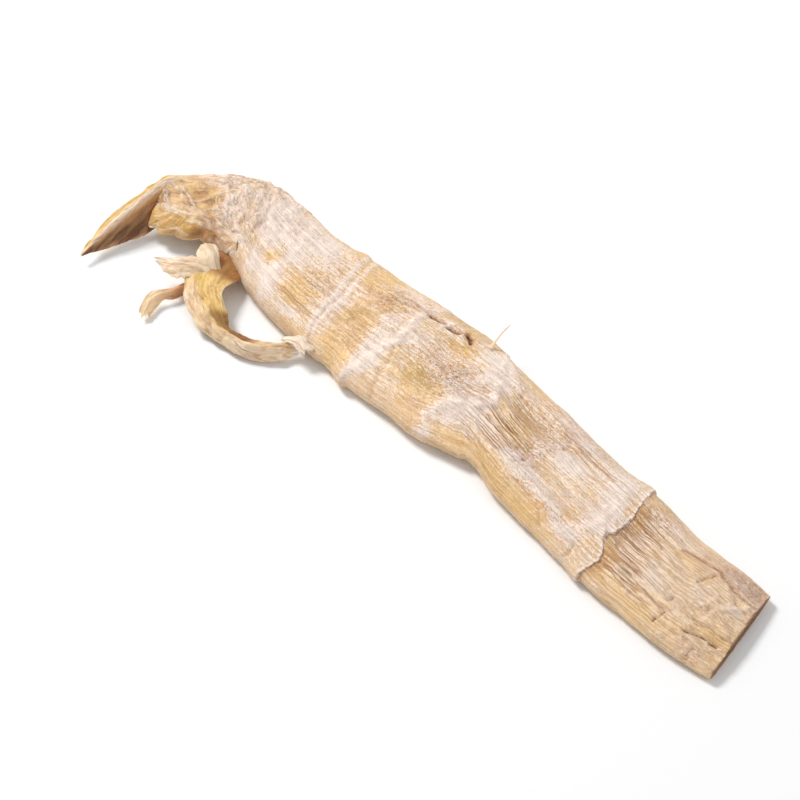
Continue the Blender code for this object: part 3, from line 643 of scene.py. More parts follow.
def tubeQuads(rows, around):
    # the corner numbers of a tube's quads, facing along its rows crossed with around it, and of its ends
    i, j = np.meshgrid(np.arange(rows - 1), np.arange(around), indexing="ij")
    k = (j + 1) % around
    corners = [i * around + j, (i + 1) * around + j, (i + 1) * around + k, i * around + k]
    sides = np.stack(corners, axis=-1).reshape(-1, 4)
    return np.concatenate([sides, endQuads(0, around, False), endQuads((rows - 1) * around, around, True)])


def makeMesh(name, points, quads, fields=None):
    # an object whose mesh holds its place; a quad whose corners meet becomes a triangle
    faces = [[c for n, c in enumerate(q) if c not in q[:n]] for q in quads.tolist()]
    mesh = bpy.data.meshes.new(name)
    mesh.from_pydata(points.reshape(-1, 3), [], [f for f in faces if len(f) > 2])
    for field, values in (fields or {}).items():
        values = np.asarray(values, np.float32)
        isVector = values.ndim == 2
        layer = mesh.attributes.new(field, "FLOAT_VECTOR" if isVector else "FLOAT", "POINT")
        layer.data.foreach_set("vector" if isVector else "value", values.ravel())
    mesh.shade_smooth()
    mesh.set_sharp_from_angle(angle=math.radians(60.0))
    piece = bpy.data.objects.new(name, mesh)
    bpy.context.scene.collection.objects.link(piece)
    return piece


def footRows(rim):
    # rows inside the foot, from the slit's floor over its mouth and the cut face out to the rim, and how
    # far along each one is: -1 to 0 in the slit, 0 to 1 over the cut face
    angle = sectionAngles()
    across, high = squared(np.cos(angle)), squared(np.sin(angle))
    rungs = body["rungs"]
    slant = (rungs[0, 3] - rungs[0, 1]) / (rungs[0, 4] - rungs[0, 2])
    middle = (rungs[0, 5] + rungs[0, 6]) / 2
    rows, depths = [], []
    for deep in np.linspace(1.0, 0.0, body["slitRows"]):
        y = across * body["slitWidth"] / 2 * (1 - 0.1 * deep)
        tall = body["slitHeight"] / 2 * (1 - 0.4 * deep) * (1 + 0.35 * noise(y / 5, deep * 3, high, 51))
        z = middle + high * tall + 0.25 * noise(y / 7, deep, 0.0, 52)
        rows.append(np.stack([slant * y - body["slitDepth"] * deep, y, z], axis=-1))
        depths.append(np.full(len(y), -deep))
    mouth = rows[-1]
    for out in np.linspace(0.0, 1.0, body["cutRows"])[1:-1]:
        row = mouth + (rim - mouth) * out
        fibreEnds = 0.35 * noise(row[:, 1] / 0.9, row[:, 2] / 0.8, 0.0, 53)
        fibreEnds += 0.3 * noise(row[:, 1] / 3.0, row[:, 2] / 1.6, 0.0, 54)
        row[:, 0] = slant * row[:, 1] + fibreEnds * math.sin(math.pi * out)
        rows.append(row)
        depths.append(np.full(len(row), out))
    return np.array(rows), np.array(depths)


def makeBody(material):
    # the skin is the base plus its normal times the relief, and its first row goes on inside the foot
    nominal, share, sin, x, y, z, v = bodyBase()
    base = np.stack([x, y, z], axis=-1)
    top = np.sqrt(np.clip(sin, 0, 1))
    height, slide, masks = bodyFields(nominal, share, x, y, 2.0 * v, top)
    atCut = ease(nominal, 0.0, 3.0)
    skin = base + outward(base, wraps=True) * (height * (0.35 + 0.65 * atCut))[..., None]
    skin[..., 0] += slide * atCut
    # the saw left the rim a little ragged
    rim = 0.6 * noise(y[0] / 2.1, z[0] / 2, 0.0, 55) + noise(y[0] / 8.0, z[0] / 5, 0.0, 56)
    rim = rim - 0.9 * np.exp(-(((y[0] - 6) / 9) ** 2))
    skin[0, :, 0] += rim
    skin[1:5, :, 0] += rim * np.array([0.8, 0.6, 0.35, 0.15])[:, None]
    inner, depth = footRows(skin[0])
    points = np.concatenate([inner, skin])
    points[..., 2] = np.maximum(points[..., 2], 0.0)
    rows, around = points.shape[:2]
    flow = np.stack([nominal, share * body["halfWidth"], 2.0 * v], axis=-1)
    innerFlow = np.stack([np.full(depth.shape, -3.0), inner[..., 1], inner[..., 2]], axis=-1)
    fields = {"flow": np.concatenate([innerFlow, flow]).reshape(-1, 3)}
    inSlit = depth < 0
    # painted shade over the cut face, deeper inside the slit
    onCut = {"brown": 0.35 + 0.5 * inSlit, "recessShade": 0.3 + 0.7 * inSlit, "ochre": 0.35}
    for name, mask in masks.items():
        inside = np.broadcast_to(onCut.get(name, 0.1), depth.shape)
        fields[name] = np.concatenate([inside, mask]).ravel()
    fields["cut"] = np.concatenate([np.ones(depth.shape), np.zeros(nominal.shape)]).ravel()
    piece = makeMesh("shootBody", toWorld(points), tubeQuads(rows, around), fields)
    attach(piece, "root")
    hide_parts("shoot_body")
    piece.data.materials.append(material)
    print("body made:", rows, "rows of", around)


class Wire:
    # a socket in a material's node tree; arithmetic on it adds Math nodes

    def __init__(self, tree, socket=None):
        self.tree, self.socket = tree, socket

    def add(self, kind, settings=None, inputs=None, out=0):
        # any node: its settings first, then the values or links of its sockets; gives one output
        node = self.tree.nodes.new(kind)
        for name, value in (settings or {}).items():
            setattr(node, name, value)
        for key, value in (inputs or {}).items():
            if isinstance(value, Wire):
                self.tree.links.new(value.socket, node.inputs[key])
            else:
                node.inputs[key].default_value = value
        return Wire(self.tree, node.outputs[out])

    def maths(self, operation, *values):
        return self.add("ShaderNodeMath", {"operation": operation}, dict(enumerate(values)))

    def __add__(self, other):
        return self.maths("ADD", self, other)

    def __sub__(self, other):
        return self.maths("SUBTRACT", self, other)

    def __mul__(self, other):
        return self.maths("MULTIPLY", self, other)

    def __rsub__(self, other):
        return self.maths("SUBTRACT", other, self)

    __radd__ = __add__
    __rmul__ = __mul__

    def soft(self, low, high):
        # 0 below low and 1 above high, eased between
        settings = {"interpolation_type": "SMOOTHSTEP"}
        return self.add("ShaderNodeMapRange", settings, {0: self, 1: low, 2: high, 3: 0.0, 4: 1.0})

    def attribute(self, name, out=2):
        return self.add("ShaderNodeAttribute", {"attribute_name": name}, out=out)

    def stretched(self, scale):
        # this vector with each of its parts multiplied
        return self.add("ShaderNodeVectorMath", {"operation": "MULTIPLY"}, {0: self, 1: scale})

    def noise(self, scale=1.0, detail=2.0, roughness=0.5, distortion=0.0):
        # noise texture on this vector, 0 to 1
        inputs = {"Vector": self, "Scale": scale, "Detail": detail, "Roughness": roughness}
        return self.add("ShaderNodeTexNoise", None, {**inputs, "Distortion": distortion})

    def parts(self):
        # the three numbers of this vector
        node = self.add("ShaderNodeSeparateXYZ", None, {"Vector": self}).socket.node
        return [Wire(self.tree, output) for output in node.outputs]

    def vector(self, x, y, z):
        return self.add("ShaderNodeCombineXYZ", None, {"X": x, "Y": y, "Z": z})

    def colour(self, value):
        # a plain colour to start a chain of blends from
        return self.add("ShaderNodeMix", {"data_type": "RGBA"}, {0: 0.0, 6: value, 7: value}, out=2)

    def blend(self, share, other):
        # this colour mixed with another, by a share from 0 to 1
        settings = {"data_type": "RGBA", "blend_type": "MIX", "clamp_factor": True}
        return self.add("ShaderNodeMix", settings, {0: share, 6: self, 7: other}, out=2)

    def bump(self, strength, distance):
        # a shader's normal that follows this height
        inputs = {"Strength": strength, "Distance": distance, "Height": self}
        return self.add("ShaderNodeBump", None, inputs)


def newMaterial(name):
    material = bpy.data.materials.new(name)
    material.use_nodes = True
    tree = material.node_tree
    shader = next(node for node in tree.nodes if node.type == "BSDF_PRINCIPLED")
    return material, Wire(tree), shader


def feed(wire, shader, inputs):
    for name, value in inputs.items():
        if isinstance(value, Wire):
            wire.tree.links.new(value.socket, shader.inputs[name])
        else:
            shader.inputs[name].default_value = value


def tint(red, green, blue):
    # a display colour, 0 to 255, as the linear colour that sockets hold
    parts = np.array([red, green, blue]) / 255.0
    linear = np.where(parts <= 0.04045, parts / 12.92, ((parts + 0.055) / 1.055) ** 2.4)
    return (*linear.tolist(), 1.0)


flesh = {
    "cream": tint(243, 213, 174),
    "ochre": tint(240, 200, 140),
    "olive": tint(216, 182, 112),
    # whitish bloom; the same white paints highlights on crests
    "bloomAndHighlight": tint(255, 237, 225),
    "lilac": tint(224, 192, 180),
    "brown": tint(168, 112, 64),
    # brown flecks; the same brown paints shade in the shrivelled grooves
    "fleckAndShade": tint(190, 136, 86),
    "dark": tint(96, 56, 30),
    # the cut face's brown, partly its own and partly painted shade
    "cutBrownAndShade": tint(150, 104, 66),
    # how often each pattern repeats in a millimetre: along, across and through the skin
    "slowSize": (0.06, 0.08, 0.1),
    "quickSize": (0.25, 0.3, 0.4),
    "strandSize": (0.038, 1.35, 1.1),
    "threadSize": (0.1, 2.1, 1.7),
    "strokeSize": (0.42, 1.5, 1.3),
    "seamSize": (0.018, 0.75, 0.6),
    "grainSize": (0.7, 1.15, 1.1),
    "dustSize": (2.3, 2.3, 2.3),
    "blotchSize": (0.11, 0.15, 0.2),
    "endSize": (0.0, 1.1, 1.1),
    "bumpDepth": 0.0007,
}


def fleshPatterns(wire, masks):
    # strands, threads and seams along the fibres, grain, dust and blotches, grooves and crests, and the flow.
    # The fibres wander: the place across is shifted by a slow noise before the lines are drawn
    plainFlow = wire.attribute("flow", out=1)
    slow = plainFlow.stretched(flesh["slowSize"]).noise(1.0, 2.0, 0.5)
    quick = plainFlow.stretched(flesh["quickSize"]).noise(1.0, 1.0, 0.5)
    along, across, around = plainFlow.parts()
    flow = wire.vector(along, across + (slow - 0.5) * 3.0 + (quick - 0.5) * 0.7, around)
    strands = flow.stretched(flesh["strandSize"]).noise(1.0, 2.0, 0.6)
    strands = 0.5 + (strands - 0.5) * (1 - masks["still"] * 0.8)
    threads = flow.stretched(flesh["threadSize"]).noise(1.0, 1.0, 0.55)
    strokes = flow.stretched(flesh["strokeSize"]).noise(1.0, 2.0, 0.6, 0.8)
    threads = strokes + (threads - strokes) * (masks["lined"] * 1.4).soft(0.1, 0.9)
    grain = plainFlow.stretched(flesh["grainSize"]).noise(1.0, 3.0, 0.74, 0.7)
    dust = plainFlow.stretched(flesh["dustSize"]).noise(1.0, 2.0, 0.6)
    blotch = plainFlow.stretched(flesh["blotchSize"]).noise(1.0, 5.0, 0.62, 0.8)
    # a seam is a thin line where a long noise crosses its middle
    seams = flow.stretched(flesh["seamSize"]).noise(1.0, 1.0, 0.5) - 0.5
    seams = wire.maths("ABSOLUTE", seams).soft(0.06, 0.012) * (0.45 + 0.55 * threads.soft(0.35, 0.55))
    # shrivelled skin: grooves wind where a rounder, slanted noise crosses its middle, crests between them;
    # the grooves get painted shade and the crests painted highlight
    slanted = wire.vector(along * 0.36 - across * 0.2, along * 0.07 + across * 0.13, around * 0.3)
    crossing = wire.maths("ABSOLUTE", slanted.noise(1.0, 3.0, 0.62, 0.5) - 0.5)
    grooves = crossing.soft(0.035, 0.0) * masks["shrivelled"]
    crests = crossing.soft(0.06, 0.15) * masks["shrivelled"]
    return strands, threads, seams, grain, dust, blotch, grooves, crests, plainFlow


def fleshColour(wire, masks, patterns):
    # cream tinted by the masks, powdered with bloom and painted highlights, darkened between fibres and with
    # painted shade in hollows, and the cut face's brown, partly its own and partly painted shade; and the
    # powder, which is rougher too
    strands, threads, seams, grain, dust, blotch, grooves, crests, flow = patterns
    colour = wire.colour(flesh["cream"])
    colour = colour.blend((masks["ochre"] * 1.3 + (blotch - 0.5) * 1.3).soft(0.05, 1.0), flesh["ochre"])
    colour = colour.blend(masks["lilac"] * (0.2 + 0.9 * grain), flesh["lilac"])
    colour = colour.blend((masks["olive"] + (blotch - 0.5) * 0.8).soft(0.1, 1.1) * 0.9, flesh["olive"])
    # brown: the skin's own brown and mottling, and the painted shade carried in the brown mask
    mottle = (strands - 0.5) * (0.25 + masks["lined"] * 0.2)
    mottle = mottle + (grain - 0.5) * (0.3 + masks["grainy"] * 0.9) + masks["brown"]
    colour = colour.blend((mottle + 0.08).soft(0.06, 1.0) * 0.65, flesh["brown"])
    # powder lies smooth where the bloom is strong, and in crisp crumbs and threads round about it
    powder = (masks["bloomAndHighlight"] + (blotch - 0.5) * 0.8 + (grain - 0.5) * 0.8).soft(0.35, 1.0)
    colour = colour.blend(powder * 0.55, flesh["bloomAndHighlight"])
    crumbs = masks["margin"] * -0.12 + grain + dust * 0.6 + threads * 0.6
    crumbs = crumbs + masks["bloomAndHighlight"] * 0.34 + masks["grainy"] * 0.1
    still = 1 - masks["still"] * 0.85
    colour = colour.blend(crumbs.soft(1.14, 1.32) * still * 0.85, flesh["bloomAndHighlight"])
    # thin dark lines between the fibres, and dark crumbs where it is grainy
    colour = colour.blend(seams * (0.08 + masks["lined"] * 1.25) * (1 - powder * 0.45), flesh["brown"])
    gaps = threads.soft(0.42, 0.3) * (0.22 + masks["lined"] * 0.25)
    colour = colour.blend(gaps * still * (1 - powder * 0.5) * 1.3, flesh["fleckAndShade"])
    speck = grain.soft(0.47, 0.37) * (0.26 + masks["grainy"] * 0.75)
    speck = speck + dust.soft(0.43, 0.33) * (0.25 + masks["grainy"] * 0.4)
    colour = colour.blend(speck * still * (1 - powder * 0.35) * 1.2, flesh["fleckAndShade"])
    # painted highlight on the shrivelled crests, painted shade in the grooves
    colour = colour.blend(crests * 0.25, flesh["bloomAndHighlight"]).blend(grooves * 0.6, flesh["fleckAndShade"])
    # painted shade in the hollows, the cracks, the hole and the slit, brown and then dark
    colour = colour.blend(masks["recessShade"].soft(0.08, 1.0) * 0.6, flesh["brown"])
    colour = colour.blend(masks["recessShade"].soft(0.75, 1.0) * 0.75, flesh["dark"])
    # the cut face: brown, partly its own colour and partly painted shade, with dark fibre ends
    ends = flow.stretched(flesh["endSize"]).noise(1.0, 1.0, 0.5)
    cutColour = wire.colour(flesh["cutBrownAndShade"]).blend(ends.soft(0.55, 0.4) * 0.8, flesh["dark"])
    return colour.blend(masks["cut"] * 0.85, cutColour), powder


def fleshMaterial():
    # dried flesh: the painted colour, with fibres, grain and wrinkles as fine bumps
    material, wire, shader = newMaterial("driedFlesh")
    names = ("bloomAndHighlight", "ochre", "olive", "lilac", "brown", "recessShade", "cut", "lined", "grainy", "still",
             "margin", "shrivelled")
    masks = {name: wire.attribute(name) for name in names}
    patterns = fleshPatterns(wire, masks)
    colour, powder = fleshColour(wire, masks, patterns)
    strands, threads, seams, grain, dust, _, grooves, crests, _ = patterns
    height = strands * (0.2 + masks["lined"] * 0.7) - seams * (0.2 + masks["lined"] * 0.5) + threads * 0.35
    height = height + grain * (0.25 + masks["grainy"] * 0.7 + powder * 0.2) + dust * 0.15
    height = height + crests * 0.35 - grooves * 0.35
    normal = height.bump(1.0, flesh["bumpDepth"])
    feed(wire, shader, {
        "Base Color": colour,
        "Roughness": 0.58 + powder * 0.2 + (grain - 0.5) * 0.3,
        "Normal": normal,
        "Subsurface Weight": 0.18,
        "Subsurface Radius": (1.0, 0.55, 0.3),
        "Subsurface Scale": 0.002,
        "Specular IOR Level": 0.35,
    })
    return material


makeBody(fleshMaterial())


# Leaves and loose strips. Each is a sheet hung on rails, curves from its root to its end, which run from
# its right side to its left as one looks along it, in millimetres from the middle of the cut foot.
# fold: 1 for a sharp fold at the middle rails, 0 for a bend. scallop: share of the width that the margins'
# lobes take, and lobes: how notched they are. curl, crumple, pleat, waves and gathers: heights in
# millimetres of turned margins, crumples, lengthwise pleats, a wavy left margin and crosswise folds.
# fray: how ragged the end is, in millimetres. shape: points along and across.
leaves = {
    "tipLeaf": {
        "rails": [
            [(-315, 5, 9.0), (-323.0, -5, 13.2), (-323.6, -15, 13.8), (-323.2, -26, 12.6),
             (-323.6, -37, 10.0), (-321, -49, 6.6), (-317, -58, 4.4)],
            [(-311, 3, 10.5), (-318.5, -9, 15.2), (-318.6, -19, 15.2), (-318, -28, 13.8),
             (-317.6, -38, 11.0), (-317.4, -49, 7.6), (-316.5, -59, 4.6)],
            [(-307, -10, 11.0), (-309.5, -16.5, 8.0), (-310.4, -24, 3.8), (-310.8, -31, 2.4),
             (-312.8, -39.5, 2.2), (-314.6, -49, 2.6), (-316, -58.5, 4.0)],
        ],
        "fold": 0.5, "curl": 0.5, "scallop": 0.04, "crumple": 0.7, "pleat": 1.0, "fray": 1.2, "lobes": 0.5,
        "waves": 0.0, "gathers": 0.0, "shape": (220, 90), "seed": 61,
    },
    "curledSheath": {
        "rails": [
            [(-281, -10, 5), (-280.5, -20, 6), (-278, -29.5, 6.6), (-273.4, -37.6, 6.6),
             (-267, -42.6, 5.6), (-259.5, -46, 4.4), (-251.5, -47.9, 3.4), (-243, -47.9, 2.6),
             (-234, -46.6, 2.2), (-226, -44.6, 2.0), (-219.5, -40.2, 2.0), (-215, -33.5, 2.2),
             (-211.5, -27.0, 3.2)],
            [(-277, -9.5, 5.5), (-275.5, -20, 7.2), (-273.5, -29, 9), (-270, -35.5, 9.8),
             (-263, -40, 9.9), (-256, -42.9, 9.4), (-248, -45, 8.8), (-240.5, -45.2, 7.9),
             (-233.5, -43.6, 7.2), (-227, -41.2, 6.6), (-221.5, -37, 6.2), (-217.5, -31.5, 6.2),
             (-214, -26, 6.2)],
            [(-273, -9, 5.5), (-269, -19.5, 7.0), (-266, -27, 9.4), (-263, -32.5, 9.6),
             (-259.5, -36.5, 9.6), (-253.5, -39, 8.8), (-246.6, -41.6, 8.0), (-240.0, -42.4, 7.4),
             (-233, -41, 6.8), (-227, -38.6, 6.4), (-222, -35, 6.2), (-218.5, -30, 6.4),
             (-215.5, -25.6, 6.4)],
            [(-268, -9, 4.5), (-261.5, -18, 5.0), (-259, -23.5, 6.6), (-257.8, -28.3, 8.6),
             (-255.8, -32.3, 8.8), (-250, -35.6, 7.4), (-244.5, -38.2, 5.2), (-239, -38.8, 4.4),
             (-232.6, -37.6, 4.6), (-227, -35.6, 5.0), (-222.6, -32.6, 5.2), (-219.6, -28.4, 6.0),
             (-217, -25, 6.4)],
        ],
        "fold": 0.35, "curl": 0.8, "scallop": 0.07, "crumple": 1.3, "pleat": 1.1, "fray": 2.6, "lobes": 0.5,
        "waves": 0.0, "gathers": 0.0, "shape": (340, 84), "seed": 62,
    },
    "tornSheath": {
        "rails": [
            [(-266.5, -25.5, 6.0), (-271.5, -24.8, 9.4), (-277, -27.5, 11.2), (-281.5, -32, 11.4),
             (-285.2, -36.4, 10.6), (-287.8, -39.6, 10.0)],
            [(-265, -27, 6.4), (-270, -28.5, 9.8), (-275.2, -32.3, 11.2), (-279.8, -36, 11.2),
             (-283.6, -38.8, 10.6), (-287.8, -40.4, 10.0)],
            [(-263.5, -28.5, 5.6), (-267.6, -31.5, 7.6), (-272.8, -36.3, 8.2), (-277.2, -40, 8.6),
             (-281.8, -42, 9.2), (-287.4, -41.2, 9.6)],
        ],
        "fold": 0.2, "curl": 0.7, "scallop": 0.22, "crumple": 0.9, "pleat": 0.5, "fray": 3.5, "lobes": 1.0,
        "waves": 0.0, "gathers": 0.0, "shape": (150, 60), "seed": 63,
    },
    "tornLobe": {
        "rails": [
            [(-265, -26, 6.0), (-270, -22.4, 9.4), (-275, -19.4, 11), (-278.4, -18.4, 11.8),
             (-280.6, -19.8, 11.6)],
            [(-265, -27.5, 6.4), (-271, -25, 10.8), (-276, -23, 12.4), (-279.8, -21.8, 12.4),
             (-281.4, -21.8, 11.8)],
            [(-266, -29.5, 6.0), (-272, -28.8, 9.6), (-276.6, -28.4, 10.6), (-280.4, -26.4, 11),
             (-281.8, -23.4, 11.4)],
        ],
        "fold": 0.0, "curl": 0.5, "scallop": 0.08, "crumple": 0.6, "pleat": 0.4, "fray": 0.6, "lobes": 0.6,
        "waves": 0.0, "gathers": 0.0, "shape": (90, 60), "seed": 66,
    },
    "sheathShred": {
        "rails": [
            [(-272, -32, 5.0), (-275, -38, 4.4), (-275.3, -43, 4.4), (-277, -47.5, 5.2),
             (-278.7, -51.5, 5.2), (-277.4, -56, 4.6), (-274.8, -60.6, 3.2)],
            [(-269, -33, 5.4), (-272.8, -39, 5.2), (-273.8, -44, 4.8), (-275.6, -48.4, 4.6),
             (-276, -52.4, 4.4), (-274.6, -56.6, 4.2), (-272.2, -60.8, 2.8)],
            [(-266, -34.5, 3.0), (-270.4, -40.5, 2.4), (-272, -45, 1.8), (-274, -48.4, 2.4),
             (-272.9, -52, 2.2), (-271.4, -56, 2.2), (-269.6, -59.6, 2.0)],
        ],
        "fold": 0.4, "curl": 0.4, "scallop": 0.12, "crumple": 0.5, "pleat": 0.6, "fray": 1.6, "lobes": 0.8,
        "waves": 0.0, "gathers": 0.0, "shape": (150, 40), "seed": 64,
    },
    "neckFrill": {
        "rails": [
            [(-314, -19.5, 11.6), (-311.2, -18.2, 13.8), (-307.5, -15, 14.2), (-301.9, -12, 13.8),
             (-295.9, -9.6, 13.3), (-288.5, -8.4, 12.7), (-280.9, -8.2, 12.3), (-275.8, -8, 12.2)],
            [(-314, -21.5, 11.2), (-310.6, -22, 13), (-304.6, -20.1, 13.8), (-298.7, -17.1, 13.4),
             (-293.1, -14, 13), (-286.3, -11.7, 12.6), (-279, -10.9, 12.4), (-273, -10.7, 12.4)],
            [(-313.8, -23.6, 9.6), (-310.6, -25.4, 10.6), (-305.2, -25, 11.2), (-298.4, -22.6, 11.1),
             (-291.6, -18, 11), (-284.7, -14.2, 10.9), (-277.5, -13.1, 11), (-271.4, -12.5, 11.8)],
            [(-313.4, -25.2, 7.6), (-310.8, -27.8, 6.4), (-305.6, -27.8, 6.6), (-298.8, -26, 7),
             (-291.2, -20.4, 7), (-283.8, -16.6, 7), (-276.3, -15.2, 6.8), (-269.6, -14.3, 9.4)],
        ],
        "fold": 0.0, "curl": 0.3, "scallop": 0.0, "crumple": 0.5, "pleat": 0.3, "fray": 0.0, "lobes": 0.3,
        "waves": 1.6, "gathers": 0.55, "shape": (260, 70), "seed": 65,
    },
    "endChip": {
        "rails": [
            [(-221.5, -29.4, 6.0), (-217.5, -29.2, 7.2), (-213, -28.8, 7.4), (-208.6, -28.6, 6.4)],
            [(-221.0, -27.6, 6.6), (-217, -27, 8.2), (-212.6, -26.4, 8.6), (-207.8, -26, 7.6)],
            [(-219.6, -25.6, 6.4), (-216, -24.6, 7.8), (-211.8, -24.0, 8.4), (-207.4, -23.8, 7.8)],
        ],
        "fold": 0.2, "curl": 0.8, "scallop": 0.3, "crumple": 1.0, "pleat": 0.5, "fray": 1.6, "lobes": 1.4,
        "waves": 0.0, "gathers": 0.0, "shape": (90, 44), "seed": 68,
    },
    "looseFibre": {
        "rails": [
            [(-159.8, 27.0, 9.6), (-160.8, 31.4, 11.2), (-161.7, 35.9, 12.4), (-162.3, 40.0, 12.8)],
            [(-161.4, 26.8, 9.6), (-161.6, 31.2, 11.2), (-162.2, 35.7, 12.4), (-162.5, 40.0, 12.8)],
        ],
        "fold": 0.0, "curl": 0.1, "scallop": 0.2, "crumple": 0.1, "pleat": 0.1, "fray": 0.2, "lobes": 0.5,
        "waves": 0.0, "gathers": 0.0, "shape": (60, 8), "seed": 67,
    },
    "thickness": 0.5,
    "lowest": 0.15,  # no part of a leaf goes below this height over the floor
}


def railed(rails, t, v, fold):
    # the sheet on its rails: a smooth curve along each, and across them a mix of straight and bent
    rails = np.asarray(rails, float)
    at, count = np.linspace(0.0, 1.0, rails.shape[1]), len(rails)
    lines = np.array([[smooth(t, at, rail[:, k]) for k in range(3)] for rail in rails])
    slopes = np.gradient(lines, axis=0)
    place = (v + 1) / 2 * (count - 1)
    i = np.clip(np.floor(place).astype(int), 0, count - 2)
    f = (place - i)[:, None, None]
    start, end = lines[i], lines[i + 1]
    bent = start * (1 + 2 * f) * (1 - f) ** 2 + end * f * f * (3 - 2 * f)
    bent = bent + slopes[i] * f * (1 - f) ** 2 + slopes[i + 1] * f * f * (f - 1)
    straight = start + (end - start) * f
    return np.moveaxis(straight * fold + bent * (1 - fold), (0, 1, 2), (1, 2, 0))


def bladeRise(spec, run, reach, t, edge, margin):
    # how strong the pleats are, and the sheet's rise: turned margins, crumples that grow away from the
    # root, less the pleats along it, plus gathers across it and fine ribs
    seed = spec["seed"]
    free = np.minimum(1.0, 4.0 * t)
    rise = free * spec["curl"] * ease(edge, 0.62, 1.0) * (0.3 + 1.6 * noise(run / 6.0, margin, 0.5, seed + 2))
    rise = rise + free * spec["crumple"] * (0.5 * fbm(run / 7.0, reach / 4.5, 0.5, seed + 3, 3))
    bends = reach / 2.4 + 0.9 * noise(run / 9.0, reach / 4, 0.5, seed + 4)
    pleats = creases(bends, run / 14.0, 0.5, seed + 5, 2)
    pleats = pleats * ease(noise(run / 8, reach / 3, 0.5, seed + 10), -0.45, 0.25)
    rise = rise - 0.6 * free * spec["pleat"] * (pleats - 0.3)
    bends = run / 4.2 + 0.9 * noise(run / 8.0, reach / 4, 0.5, seed + 11)
    gathers = creases(bends, reach / 9.0, 0.5, seed + 12, 2)
    rise = rise + spec["gathers"] * (gathers - 0.4)
    pleats = np.maximum(pleats, min(spec["gathers"], 1.0) * gathers)
    return pleats, rise + 0.08 * noise(reach / 0.8, run / 12.0, 0.5, seed + 6)


def bladePoints(spec):
    # the blade's upper and lower face as one tube, half its thickness above and below the sheet, and what
    # its paint goes by: the way along and across in millimetres and as shares, the pleats and the rise
    rows, columns = spec["shape"]
    seed = spec["seed"]
    t = np.linspace(0.0, 1.0, rows)
    v = np.sin(np.linspace(-math.pi / 2, math.pi / 2, columns))
    base = railed(spec["rails"], t, v, spec["fold"])
    middle = base[:, columns // 2]
    run = np.concatenate([[0.0], np.cumsum(np.linalg.norm(np.diff(middle, axis=0), axis=1))])[:, None]
    width = np.linalg.norm(base[:, -1] - base[:, 0], axis=1)[:, None]
    forward = np.gradient(middle, axis=0)
    forward /= np.linalg.norm(forward, axis=1, keepdims=True)
    v, t = v[None], t[:, None]
    edge, reach = np.abs(v), width / 2 * v
    # margins: wide lobes and small notches, each margin its own
    margin = np.where(v < 0, 0.0, 7.3)
    notch = noise(run / 4.5, margin, 0.5, seed)
    notch = notch + spec["lobes"] * np.abs(noise(run / 2.0, margin, 0.5, seed + 1))
    outer = base[:, -1:] - base[:, :1]
    points = base + outer * (0.5 * v * edge * spec["scallop"] * notch)[..., None]
    swing = math.pi * run / 8.4 + 0.7 * noise(run / 9, 0.3, 0.5, seed + 9)
    waves = (np.abs(np.sin(swing)) - 0.5) * ease(v, 0.0, 1.0)
    across = outer / np.maximum(width[..., None], 1e-6)
    points = points + across * (spec["waves"] * waves)[..., None]
    pleats, rise = bladeRise(spec, run, reach, t, edge, margin)
    points = points + outward(base, wraps=False) * rise[..., None]
    # the end is frayed, and the sheet thins towards its end and its margins
    teeth = noise(3.1 * v, 0.4, 0.5, seed + 7) + 0.6 * noise(8.0 * v, 0.4, 0.5, seed + 8)
    points = points + forward[:, None] * (spec["fray"] * teeth * ease(t, 0.8, 1.0) ** 2)[..., None]
    half = leaves["thickness"] / 2 * (1 - 0.85 * edge**6) * (1 - 0.5 * ease(t, 0.8, 1.0))
    half[:, [0, -1]] = 0.0
    offset = outward(points, wraps=False) * half[..., None]
    tube = np.concatenate([points + offset, (points - offset)[:, -2:0:-1]], axis=1)
    names = ("run", "reach", "t", "v", "pleats", "rise")
    fields = zip(names, np.broadcast_arrays(run, reach, t, v, pleats, rise))
    return tube, {name: np.concatenate([f, f[:, -2:0:-1]], axis=1) for name, f in fields}


def makeBlade(name, node, material, paint):
    # a leaf in its place, with the masks that its paint gives
    tube, on = bladePoints(leaves[name])
    tube[..., 2] = np.maximum(tube[..., 2], leaves["lowest"])
    rows, around = tube.shape[:2]
    on["isUnder"] = np.broadcast_to(np.arange(around) > around // 2, (rows, around))
    flow = np.stack([on["run"], on["reach"], np.zeros((rows, around))], axis=-1)
    fields = {"flow": flow.reshape(-1, 3)}
    for mask, values in paint(**on).items():
        fields[mask] = np.clip(np.broadcast_to(values, (rows, around)), 0, 1).ravel()
    piece = makeMesh(name, toWorld(tube), tubeQuads(rows, around), fields)
    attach(piece, "root")
    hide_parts(node)
    piece.data.materials.append(material)


leafLook = {
    "amber": tint(240, 198, 132),
    "cream": tint(242, 212, 174),
    "pale": tint(243, 217, 186),
    "white": tint(250, 233, 216),
    "deep": tint(200, 134, 68),
    "olive": tint(232, 194, 100),
    "dark": tint(110, 76, 50),
    "bumpDepth": 0.0003,
}


